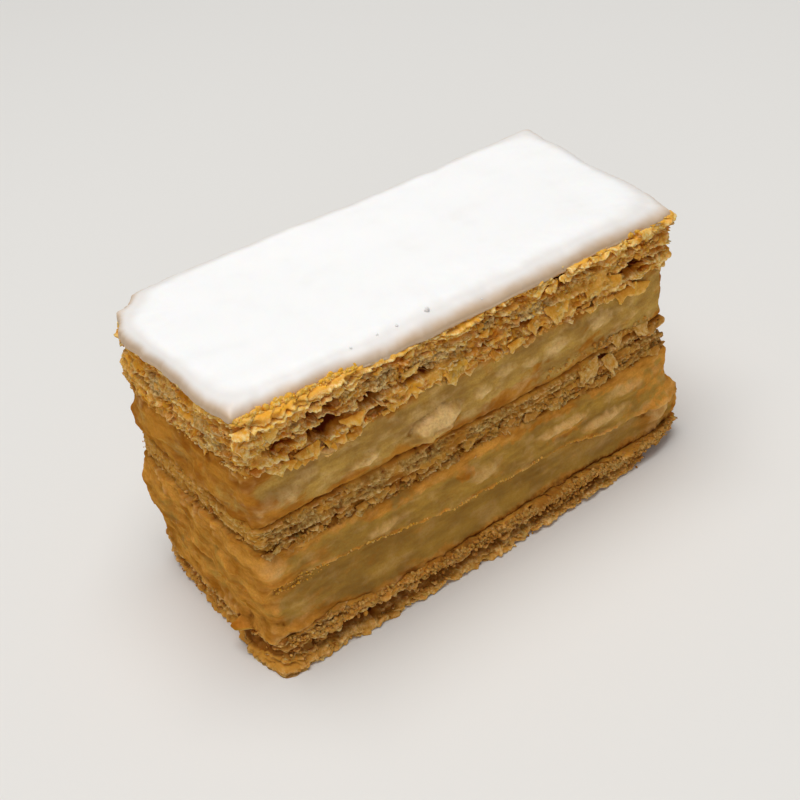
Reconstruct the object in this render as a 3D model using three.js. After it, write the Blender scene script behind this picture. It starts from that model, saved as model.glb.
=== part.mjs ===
// A slice of mille feuille: three sheets of flaky puff pastry with two deep layers of set custard
// between them and a lid of white fondant icing, cut as a bar.
// Millimetres, +Z up. The length runs along X and the width along Y, with the front face at -Y.
// The origin is the middle of the flat underside.

import * as THREE from 'three';
import { mergeVertices } from 'three/addons/utils/BufferGeometryUtils.js';

// The bar tapers a little from its base to its top, and its long faces bow out at the base.
const baseLength = 107.6;
const topLength = 104.6;
const baseWidth = 46.2;
const topWidth = 44.8;
const pastryTopHeight = 58.4;
const icingTopHeight = 61.6;
const baseBow = 1.3; // how far the middle of a long face stands out at the base
const layerGap = 0.3; // clearance between two layers

// A cut corner of the outline pulls in by this much, and two corners pull in further: the back left
// one of the top, where the icing is rounded off, and the front right one of the base.
const cornerPull = { x: 0.8, y: 0.5 };
const roundedTopPull = { x: 1.6, y: 4.5 };
const wornBasePull = { x: 2.6, y: 1.6 };

// The back leans out towards the left end: the top there stands out by this much.
const backLeftLean = { x: 0.6, y: 4.2 };

// The plan is moved by this much, so that the origin is in the middle of the slice's outer bounds.
const toMiddle = { x: 0.2, y: -0.8 };

// Each layer is a block of cells, so that neighbours meet vertex to vertex.
const cellsAlongLength = 24;
const cellsAlongWidth = 10;

// The joint between two layers lies at a mean height. It rises or falls by toRight over the length
// and by toBack over the width, is twisted by twist, and carries one long wave.
const joints = [
  { height: 0, toRight: 0, toBack: 0, twist: 0, wave: 0, turns: 0, phase: 0 },
  { height: 6.2, toRight: -2.0, toBack: 0.5, twist: 0, wave: 0.5, turns: 1.33, phase: 1.83 },
  { height: 26.8, toRight: -2.6, toBack: -0.8, twist: 0.4, wave: 0.5, turns: 2.0, phase: 2.43 },
  { height: 33.3, toRight: -2.0, toBack: -0.8, twist: 0.4, wave: 0.7, turns: 1.25, phase: 5.4 },
  { height: 46.6, toRight: -1.2, toBack: -0.6, twist: 0.4, wave: 0.9, turns: 1.9, phase: 3.47 },
  { height: pastryTopHeight, toRight: -1.4, toBack: 0.3, twist: 1.6, wave: 0.2, turns: 1.1, phase: 3.6 },
  { height: icingTopHeight, toRight: -1.8, toBack: 1.0, twist: 1.6, wave: 0.15, turns: 0.9, phase: 1.0 },
];

// Where the uppermost leaf of the bottom sheet curls up, and where the icing has run down the front.
const curl = { joint: 1, rise: 1.9, u: -0.78, spread: 0.2 };
const run = { joint: 5, rise: -0.8, u: -0.15, spread: 0.4 };

// The six layers from the base up. Overhangs say how far a layer's side stands proud of the taper
// at the front, back, left and right, and relief is the depth of its leaves, swells or rounding.
const layers = [
  {
    name: 'bottom_pastry', rows: 3, profile: leafEdge, relief: 0.7,
    overhang: { front: 1.1, back: 0.6, left: 0.8, right: 0.6 }, colour: '#9c6a2e', roughness: 0.8,
  },
  {
    name: 'lower_custard', rows: 6, profile: custardSide, relief: 0.5,
    overhang: { front: -0.1, back: -0.1, left: 1.0, right: -1.0 }, colour: '#8f6c30', roughness: 0.35,
  },
  {
    name: 'middle_pastry', rows: 3, profile: leafEdge, relief: 0.8,
    overhang: { front: 0.2, back: 0.2, left: 0.8, right: -2.0 }, colour: '#96793f', roughness: 0.85,
  },
  {
    name: 'upper_custard', rows: 4, profile: custardSwell, relief: 0.6,
    overhang: { front: -0.7, back: -0.7, left: -0.4, right: -0.8 }, colour: '#99793e', roughness: 0.35,
  },
  {
    name: 'top_pastry', rows: 5, profile: leafEdge, relief: 0.9,
    overhang: { front: 0.6, back: 0.6, left: 0.4, right: 0.5 }, colour: '#b8863c', roughness: 0.8,
  },
  {
    name: 'icing', rows: 3, profile: icingRim, relief: 1.0,
    overhang: { front: 0.2, back: 0.2, left: 0.2, right: 0.0 }, colour: '#f4f2f0', roughness: 0.4,
  },
];

// A smooth step from 0 at one value to 1 at another, which may be the lower of the two.
function ramp(from, to, value) {
  const share = THREE.MathUtils.clamp((value - from) / (to - from), 0, 1);
  return share * share * (3 - 2 * share);
}

// A wave that runs along a cut side, of another length and start for each row of leaves.
function raggedWave(along, row) {
  const longWave = Math.sin(along * 0.23 + row * 2.4);
  const shortWave = Math.sin(along * (0.61 + 0.07 * row) + row * 5.1);
  return 0.55 * longWave + 0.45 * shortWave;
}

// Puff pastry: every row of leaves stands out or lies back on its own.
function leafEdge(layer, along, height, row) {
  const stagger = row % 2 === 0 ? 0.45 : -0.45;
  return layer.relief * (stagger + raggedWave(along, row));
}

// Custard that has sagged between two sheets: fullest at half height.
function custardSwell(layer, along, height) {
  const swell = Math.sin(Math.PI * height);
  return layer.relief * (swell - 0.4 + 0.4 * raggedWave(along, 3));
}

// Custard cut in two strokes: above the knife's ledge it stands out, and below it is hollow.
const ledgeHeight = 0.55;
function custardSide(layer, along, height) {
  const aboveLedge = ramp(ledgeHeight - 0.1, ledgeHeight + 0.1, height);
  const foot = 1 - ramp(0, 0.22, height);
  return layer.relief * (1.6 * aboveLedge + 1.3 * foot - 1.1 + 0.35 * raggedWave(along, 1));
}

// Poured icing: its side leans out slightly and rounds over at the top, and its top slopes down to
// the rim, the most along the front.
const rimDrop = { front: 1.5, elsewhere: 0.9 };
function icingRim(layer, along, height) {
  const lean = 0.35 * Math.sin(Math.PI * Math.min(height * 1.4, 1));
  const roundOver = height > 0.9 ? -0.9 : 0;
  return layer.relief * (lean + roundOver + 0.2 * raggedWave(along, 2));
}

// Height of a joint at a place in the plan. u runs from -1 at the left end to 1 at the right one,
// and v from -1 at the front face to 1 at the back one.
function jointHeight(index, u, v) {
  const joint = joints[index];
  const tilt = (joint.toRight * u + joint.toBack * v + joint.twist * u * v) / 2;
  const wave = joint.wave * Math.sin(Math.PI * joint.turns * u + 1.3 * v + joint.phase);
  let local = 0;
  for (const place of [curl, run]) {
    if (place.joint === index) {
      const nearFront = ramp(0.3, -1, v);
      local += place.rise * nearFront * Math.exp(-(((u - place.u) / place.spread) ** 2));
    }
  }
  return joint.height + tilt + wave + local;
}

// How far the outline pulls in at a corner of the plan, at a share of the height.
function cornerPullAt(u, v, share) {
  const atCorner = ramp(0.8, 1, Math.abs(u)) * ramp(0.5, 1, Math.abs(v));
  const pull = { ...cornerPull };
  for (const axis of ['x', 'y']) {
    if (u < 0 && v > 0) {
      pull[axis] = THREE.MathUtils.lerp(pull[axis], roundedTopPull[axis], ramp(0.75, 0.97, share));
    }
    if (u > 0 && v < 0) {
      pull[axis] = THREE.MathUtils.lerp(wornBasePull[axis], pull[axis], ramp(0, 0.3, share));
    }
  }
  return { x: atCorner * pull.x, y: atCorner * pull.y };
}

// The place of one vertex of a layer: u and v in the plan, and height from 0 at its underside to 1
// at its top.
function layerPoint(layer, index, u, v, height) {
  const low = jointHeight(index, u, v) + (index > 0 ? layerGap / 2 : 0);
  const atRim = Math.max(Math.abs(u), Math.abs(v)) > 0.999;
  let high = jointHeight(index + 1, u, v) - layerGap / 2;
  if (layer.profile === icingRim && atRim) {
    high -= v < -0.999 ? rimDrop.front : rimDrop.elsewhere;
  }
  const z = THREE.MathUtils.lerp(low, high, height);

  const share = z / icingTopHeight;
  const halfLength = THREE.MathUtils.lerp(baseLength, topLength, share) / 2;
  const halfWidth = THREE.MathUtils.lerp(baseWidth, topWidth, share) / 2;
  const bow = baseBow * (1 - u * u) * (1 - ramp(0, 0.5, share));
  const pull = cornerPullAt(u, v, share);
  const lean = share * ramp(0.3, -0.7, u) * ramp(-0.6, 1, v);
  let x = u * (halfLength - pull.x) - lean * backLeftLean.x;
  let y = v * (halfWidth + bow - pull.y) + lean * backLeftLean.y;

  const row = Math.round(height * layer.rows);
  if (Math.abs(u) > 0.999) {
    const overhang = u < 0 ? layer.overhang.left : layer.overhang.right;
    x += u * (overhang + layer.profile(layer, y + 40 * u, height, row));
  }
  if (Math.abs(v) > 0.999) {
    const overhang = v < 0 ? layer.overhang.front : layer.overhang.back;
    y += v * (overhang + layer.profile(layer, x + 90 * v, height, row));
  }
  return new THREE.Vector3(x + toMiddle.x, y + toMiddle.y, z);
}

// A layer starts as a block of cells two wide, two deep and one high, and each vertex is moved to
// its place.
function layerMesh(layer, index) {
  const block = new THREE.BoxGeometry(2, 2, 1, cellsAlongLength, cellsAlongWidth, layer.rows);
  block.deleteAttribute('normal');
  block.deleteAttribute('uv');
  const geometry = mergeVertices(block, 1e-4);
  const position = geometry.getAttribute('position');
  for (let i = 0; i < position.count; i += 1) {
    const height = position.getZ(i) + 0.5;
    const point = layerPoint(layer, index, position.getX(i), position.getY(i), height);
    position.setXYZ(i, point.x, point.y, point.z);
  }
  geometry.computeVertexNormals();
  const material = new THREE.MeshStandardMaterial({
    color: layer.colour, roughness: layer.roughness, metalness: 0,
  });
  const mesh = new THREE.Mesh(geometry, material);
  mesh.name = layer.name;
  return mesh;
}

const slice = new THREE.Group();
layers.forEach((layer, index) => slice.add(layerMesh(layer, index)));

export default slice;
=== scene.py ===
import math

import bpy
import numpy as np
from mathutils import Matrix, Vector


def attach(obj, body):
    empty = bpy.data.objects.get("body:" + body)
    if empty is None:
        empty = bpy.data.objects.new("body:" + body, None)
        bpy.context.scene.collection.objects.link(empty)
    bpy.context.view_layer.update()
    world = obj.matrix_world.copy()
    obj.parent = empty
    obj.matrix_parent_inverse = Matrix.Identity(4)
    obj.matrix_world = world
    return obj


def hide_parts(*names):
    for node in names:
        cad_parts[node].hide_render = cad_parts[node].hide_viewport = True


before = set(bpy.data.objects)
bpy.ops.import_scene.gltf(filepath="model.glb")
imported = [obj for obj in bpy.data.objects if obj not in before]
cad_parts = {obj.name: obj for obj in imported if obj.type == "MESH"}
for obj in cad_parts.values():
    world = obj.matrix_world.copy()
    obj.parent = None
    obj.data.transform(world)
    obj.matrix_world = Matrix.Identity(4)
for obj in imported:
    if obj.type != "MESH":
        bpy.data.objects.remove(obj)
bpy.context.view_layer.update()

metresPerMm = 0.001  # shapes are worked out in millimetres


# numbers: patterns and steps

cellPrimes = (374761393, 668265263, 951274213)  # large primes, one for each axis
mixPrime = 1274126177
slopeCount = 64
noiseGain = 1.7  # brings the noise to about -1 to 1
evenUp = 60      # mm: a pattern this tall hardly changes with height


def hashOf(cell, seed):
    # Cell numbers times large primes, folded by shifts: one repeatable integer per lattice point.
    h = sum(cell[..., axis] * prime for axis, prime in enumerate(cellPrimes))
    h = (h + seed * mixPrime) & 0xFFFFFFFF
    h = ((h ^ (h >> 13)) * mixPrime) & 0xFFFFFFFF
    return h ^ (h >> 16)


slopeTable = np.random.default_rng(11).normal(size=(slopeCount, 3))
slopeTable /= np.linalg.norm(slopeTable, axis=1)[:, None]


def noise(points, size, seed):
    # Gradient noise: the slopes at a cell's eight corners, blended by a smooth step.
    place = points / np.asarray(size, dtype=float)
    cell = np.floor(place).astype(np.int64)
    inCell = place - cell
    blend = inCell ** 3 * (inCell * (inCell * 6 - 15) + 10)
    total = np.zeros(points.shape[:-1])
    for corner in range(8):
        step = np.array([corner & 1, corner >> 1 & 1, corner >> 2 & 1])
        slope = slopeTable[hashOf(cell + step, seed) % slopeCount]
        weight = np.prod(np.where(step == 1, blend, 1 - blend), axis=-1)
        total += weight * np.sum(slope * (inCell - step), axis=-1)
    return total * noiseGain


def waves(points, seed, parts):
    # A sum of noises. Each part is (strength, size, step of the seed).
    return sum(strength * noise(points, size, seed + step) for strength, size, step in parts)


def fractal(points, size, seed, octaves=3, rough=0.5):
    # Noise added to itself at half the size and a share of the strength, octave by octave.
    total = 0
    for octave in range(octaves):
        total = total + rough ** octave * noise(points, np.asarray(size) / 2 ** octave, seed + 17 * octave)
    return total


def cells(points, size, seed):
    # Distances to the nearest and the second nearest of points scattered one to a cell, in cells.
    place = points / np.asarray(size, dtype=float)
    cell = np.floor(place).astype(np.int64)
    first = np.full(points.shape[:-1], 9.0)
    second = first.copy()
    for offset in np.ndindex(3, 3, 3):
        other = cell + np.array(offset) - 1
        h = hashOf(other, seed)
        spot = np.stack([h & 255, h >> 8 & 255, h >> 16 & 255], axis=-1) / 255.0
        distance = np.linalg.norm(other + spot - place, axis=-1)
        second = np.minimum(second, np.maximum(first, distance))
        first = np.minimum(first, distance)
    return first, second


def standOut(side, rows, columns):
    # How far each place stands out from its surroundings: itself less the mean of a window of cells,
    # in standard deviations.
    wide = np.pad(side, ((rows, rows), (0, 0)), mode="edge")
    wide = np.pad(wide, ((0, 0), (columns, columns)), mode="wrap")
    total = np.pad(wide, ((1, 0), (1, 0))).cumsum(0).cumsum(1)
    a, b = 2 * rows + 1, 2 * columns + 1
    window = total[a:, b:] - total[:-a, b:] - total[a:, :-b] + total[:-a, :-b]
    raised = side - window / (a * b)
    return raised / np.std(raised)


def ramp(start, end, value):
    # Smooth step from 0 at start to 1 at end, which may be the lower of the two.
    share = np.clip((value - start) / (end - start), 0, 1)
    return share * share * (3 - 2 * share)


def mix(a, b, share):
    return a + (b - a) * share


def spots(x, z, places):
    # Sum of soft-edged ovals: each place is (middle x, middle z, half width, half height, strength).
    total = np.zeros(np.shape(x))
    for midX, midZ, halfX, halfZ, strength in places:
        distance = ((x - midX) / halfX) ** 2 + ((z - midZ) / halfZ) ** 2
        total += strength * ramp(1.5, 0.2, distance)
    return total


def at3(x, y, z):
    return np.stack(np.broadcast_arrays(x, y, z), axis=-1).astype(float)


# the bar's form, as in the frame's solids

bar = {
    "baseLength": 107.6,
    "topLength": 104.6,
    "baseWidth": 46.2,
    "topWidth": 44.8,
    "topHeight": 61.6,
    "baseBow": 1.3,         # how far the middle of a long face stands out at the base
    "cornerPull": (0.8, 0.5),       # in x and y
    "roundedTopPull": (2.4, 3.4),   # back left corner of the top
    "wornBasePull": (1.8, 1.2),     # front right corner of the base
    "lean": (-0.6, 4.2),            # the back stands out by this much at the left end of the top
    "backLeftOut": 1.1,             # how much further the top's back edge stands out near that end
    "toMiddle": (0.2, -0.8),
    # the front right edge is broken: how far it stands out at these heights
    "edgeZ": (0.7, 5, 9.5, 13.5, 18, 25, 29.3, 30.8, 32.2, 37, 43, 49.5, 54, 60),
    "edgeX": (-2.2, 1.0, 3.0, 1.4, -2.4, -2.4, -2.0, -5.4, -0.9, -2.2, -1.5, -1.0, 0.6, 0.6),
}

# Height of each joint between two layers: mean, rise to the right, rise to the back, twist, and one
# long wave's height, turns and phase.
joints = [
    (0.0, 0.0, 0.0, 0.0, 0.0, 0.0, 0.0),
    (6.2, -2.0, 0.5, 0.0, 0.5, 1.33, 1.83),
    (26.8, -2.6, -0.8, 0.4, 0.5, 2.0, 2.43),
    (33.3, -2.0, -0.8, 0.4, 0.7, 1.25, 5.4),
    (46.6, -1.2, -0.6, 0.4, 0.9, 1.9, 3.47),
    (58.4, -1.4, 0.3, 1.6, 0.2, 1.1, 3.6),
    (61.6, -1.8, 1.0, 1.6, 0.15, 0.9, 1.0),
]


# Where the bottom sheet's uppermost leaf curls up, and where the icing has run down the front:
# joint, rise, and u of its middle and its spread.
frontRises = {1: (1.9, -0.78, 0.2), 5: (-0.8, -0.15, 0.4)}


def jointHeight(index, u, v):
    # mean + tilts + twist + a sine along the length, and a bell-shaped rise near the front
    mean, toRight, toBack, twist, wave, turns, phase = joints[index]
    height = mean + (toRight * u + toBack * v + twist * u * v) / 2
    height = height + wave * np.sin(np.pi * turns * u + 1.3 * v + phase)
    if index in frontRises:
        rise, middle, spread = frontRises[index]
        height = height + rise * ramp(0.3, -1, v) * np.exp(-((u - middle) / spread) ** 2)
    return height


def jointsAt(spot, joint):
    # The heights of a layer's underside and top.
    return [jointHeight(joint + step, spot["u"], spot["v"]) for step in (0, 1)]


def planPath(count, radius):
    # A rounded rectangle walked at even steps: u and v from -1 to 1, and the outward normal.
    halfX, halfY = bar["baseLength"] / 2, bar["baseWidth"] / 2
    turn = np.linspace(0, np.pi / 2, 9)
    x, y, nx, ny = [], [], [], []
    for quarter, (sideX, sideY) in enumerate([(1, 1), (-1, 1), (-1, -1), (1, -1)]):
        angle = turn + quarter * np.pi / 2
        x.append(sideX * (halfX - radius) + radius * np.cos(angle))
        y.append(sideY * (halfY - radius) + radius * np.sin(angle))
        nx.append(np.cos(angle))
        ny.append(np.sin(angle))
    x, y, nx, ny = [np.append(np.concatenate(part), part[0][0]) for part in (x, y, nx, ny)]
    run = np.concatenate([[0], np.cumsum(np.hypot(np.diff(x), np.diff(y)))])
    at = np.linspace(0, run[-1], count, endpoint=False)
    u, v = np.interp(at, run, x) / halfX, np.interp(at, run, y) / halfY
    nx, ny = np.interp(at, run, nx), np.interp(at, run, ny)
    long = np.hypot(nx, ny)
    return {"u": u, "v": v, "nx": nx / long, "ny": ny / long, "at": at, "run": run[-1]}


def facePath(side, along):
    # Places on one flat side, for pieces put there one by one: along is u on a long side, v on an end.
    along = np.asarray(along, dtype=float)
    still = 0 * along
    sides = {"front": (along, still - 1, still, still - 1), "back": (along, still + 1, still, still + 1),
             "left": (still - 1, along, still - 1, still), "right": (still + 1, along, still + 1, still)}
    return dict(zip(("u", "v", "nx", "ny"), sides[side]))


def wallPoint(path, z):
    # The outline at height z: tapered, bowed at the base, leaning at the back left, corners drawn in.
    u, v = path["u"], path["v"]
    share = z / bar["topHeight"]
    corner = ramp(0.8, 1, abs(u)) * ramp(0.5, 1, abs(v))
    lean = share * ramp(0.3, -0.7, u) * ramp(-0.6, 1, v)
    bow = bar["baseBow"] * (1 - u * u) * (1 - ramp(0, 0.5, share))
    spans = ((u, bar["baseLength"], bar["topLength"]), (v, bar["baseWidth"], bar["topWidth"]))
    place = []
    for axis, (along, base, top) in enumerate(spans):
        roundedTop = mix(bar["cornerPull"][axis], bar["roundedTopPull"][axis], ramp(0.75, 0.97, share))
        wornBase = mix(bar["wornBasePull"][axis], bar["cornerPull"][axis], ramp(0, 0.3, share))
        pull = np.where((u < 0) & (v > 0), roundedTop, bar["cornerPull"][axis])
        pull = np.where((u > 0) & (v < 0), wornBase, pull) * corner
        half = mix(base, top, share) / 2 + axis * bow - pull
        place.append(along * half + lean * bar["lean"][axis] + bar["toMiddle"][axis])
    backLeft = ramp(-0.35, -0.75, u) * ramp(0, 1, v) * ramp(0.55, 0.95, share)
    broken = np.interp(z, bar["edgeZ"], bar["edgeX"]) * ramp(0.8, 1, u) * ramp(0.7, -0.9, v)
    return at3(place[0] + broken, place[1] + bar["backLeftOut"] * backLeft, z)


def sideValue(path, values):
    # One number for each side, in the order front, back, left, right, blended round the corners.
    front, back, left, right = values
    nx, ny = path["nx"], path["ny"]
    return (front * np.maximum(-ny, 0) ** 2 + back * np.maximum(ny, 0) ** 2
            + left * np.maximum(-nx, 0) ** 2 + right * np.maximum(nx, 0) ** 2)


def onSides(path, points, places, warp=0):
    # Soft ovals laid out on the sides: their middles are (x, z) on a long side and (y, z) on an end. warp
    # moves them about, so that their rims are uneven.
    facing = {"front": -path["ny"], "back": path["ny"], "left": -path["nx"], "right": path["nx"]}
    total = np.zeros(points.shape[:-1])
    for side, ovals in places.items():
        along = points[..., 0] if side in ("front", "back") else points[..., 1]
        total += spots(along + warp, points[..., 2] + 0.6 * warp, ovals) * ramp(0.3, 0.8, facing[side])
    return total


def pushOut(points, path, distance):
    return points + at3(path["nx"], path["ny"], 0) * np.asarray(distance)[..., None]


def tornLine(path, spacing, seed):
    # Random heights from -1 to 1 at random knots, joined by straight lines and closed on itself.
    rng = np.random.default_rng(seed)
    count = int(path["run"] / spacing)
    knots = (np.arange(count) + rng.uniform(0.1, 0.9, count)) * path["run"] / count
    return np.interp(path["at"], knots, rng.uniform(-1, 1, count), period=path["run"])


def tornStretches(path, lengths, rng):
    # The outline broken into stretches of random length: the number of each place's stretch.
    size = rng.uniform(*lengths, size=int(2 * path["run"] / sum(lengths)) + 2)
    breaks = np.cumsum(size) * path["run"] / size.sum()
    return np.searchsorted(breaks, path["at"], side="right") % len(size), len(size)


# meshes

def makePiece(name, points, faces, values=None, smooth=True):
    # points in millimetres, faces a list of index arrays of 3 or 4 columns, values one array a name.
    loops = np.concatenate([f.ravel() for f in faces])
    sizes = np.concatenate([np.full(len(f), f.shape[1]) for f in faces])
    mesh = bpy.data.meshes.new(name)
    mesh.vertices.add(len(points))
    mesh.vertices.foreach_set("co", (points * metresPerMm).astype(np.float32).ravel())
    mesh.loops.add(len(loops))
    mesh.loops.foreach_set("vertex_index", loops.astype(np.int32))
    mesh.polygons.add(len(sizes))
    mesh.polygons.foreach_set("loop_start", np.concatenate([[0], np.cumsum(sizes)[:-1]]).astype(np.int32))
    mesh.polygons.foreach_set("use_smooth", np.full(len(sizes), smooth))
    for key, value in (values or {}).items():
        attribute = mesh.attributes.new(key, "FLOAT", "POINT")
        attribute.data.foreach_set("value", value.astype(np.float32).ravel())
    mesh.update(calc_edges=True)
    mesh.validate()
    piece = bpy.data.objects.new(name, mesh)
    bpy.context.scene.collection.objects.link(piece)
    print("made", name, len(points), "points", int(np.sum(sizes - 2)), "triangles")
    return piece


def shellFaces(rows, columns):
    # A grid closed in its columns, with a single point below its first row and above its last one.
    row = np.arange(rows - 1)[:, None] * columns
    column = np.arange(columns)
    following = (column + 1) % columns
    quads = np.stack([row + column, row + following,
                      row + columns + following, row + columns + column], axis=-1)
    below, above = rows * columns, rows * columns + 1
    last = (rows - 1) * columns
    lower = np.stack([column * 0 + below, following, column], axis=-1)
    upper = np.stack([column * 0 + above, last + column, last + following], axis=-1)
    return [quads.reshape(-1, 4), lower, upper]


def ringFaces(rows, columns):
    # A grid closed both ways, as a leaf that runs right round the bar.
    row = np.arange(rows)[:, None]
    column = np.arange(columns)
    nextRow, nextColumn = (row + 1) % rows, (column + 1) % columns
    quads = np.stack([row * columns + column, row * columns + nextColumn,
                      nextRow * columns + nextColumn, nextRow * columns + column], axis=-1)
    return [quads.reshape(-1, 4)]


def joinParts(parts):
    # Each part is (points, faces, values); the faces' numbers are shifted past the parts before.
    points, faces, values, start = [], [], {}, 0
    for partPoints, partFaces, partValues in parts:
        points.append(partPoints)
        faces += [f + start for f in partFaces]
        for key, value in partValues.items():
            values.setdefault(key, []).append(value.ravel())
        start += len(partPoints)
    return np.concatenate(points), faces, {key: np.concatenate(v) for key, v in values.items()}


shellForm = {
    "under": (0.3, 0.7, 0.93), "over": (0.93, 0.7, 0.3),  # rings: their shares of the way out
    "tornFrom": 0.88,                                     # the torn edge fades from 1 in to this share
    "roughSize": (9, 1.8),                                # mm, below and above
    "blotchSize": 7, "blotches": 0.35,
}


def layerShell(path, low, high, rows, outward, rings=(shellForm["under"], shellForm["over"]), rough=(0, 0)):
    # A layer from its underside's middle, out, up its cut side and back over its top.
    # outward(t, wall) gives how far the side stands out, and low and high are the heights round it.
    # rough is how much the rings below and above it rise and fall.
    t = np.linspace(0, 1, rows)[:, None]
    outline = wallPoint(path, mix(low, high, t))
    side, values = outward(t, outline)
    wall = pushOut(outline, path, side)
    discs, fades = [], []
    for row, height, steps, rise, size in zip((0, -1), (low, high), rings, rough, shellForm["roughSize"]):
        step = np.array(steps)[:, None]
        fade = ramp(shellForm["tornFrom"], 1, step)
        plan = mix(outline[row], wall[row], fade[..., None])
        ring = at3(plan[..., 0] * step, plan[..., 1] * step, mix(np.mean(height), height, step))
        ring[..., 2] += rise * ramp(0.2, 0.9, step) * fractal(ring, size, 71, 2)
        discs.append(ring)
        fades.append(fade)
    padded = {}
    for key, value in values.items():
        ends = []
        for row, ring, fade in zip((0, -1), discs, fades):
            # away from the edge the wall's values give way to their mean, in blotches
            blotches = shellForm["blotches"] * fractal(ring, shellForm["blotchSize"], 72, 3)
            ends.append(mix(np.clip(np.mean(value[row]) + blotches, 0, 1), value[row], fade))
        under, over = ends
        padded[key] = np.append(np.concatenate([under, value, over]).ravel(), [under.mean(), over.mean()])
    points = np.concatenate([discs[0], wall, discs[1]])
    middles = np.array([[0, 0, np.mean(low)], [0, 0, np.mean(high)]])
    return np.concatenate([points.reshape(-1, 3), middles]), shellFaces(len(points), len(path["u"])), padded


# puff pastry: a crumbly core, leaves that run round it, loose flakes and crumbs

# Four numbers in brackets are for the front, back, left and right. Flakes listed for the front face have x
# and z of the root, length, reach, droop and turn in degrees, and tone from 0, brown, to 1, light. Bands
# are rows of such flakes: first and last x, z, spread of z, how many, then the same. Rows of crumbs have
# first and last x, z, spread of z, how many, radius, tone and paleness.

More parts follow.
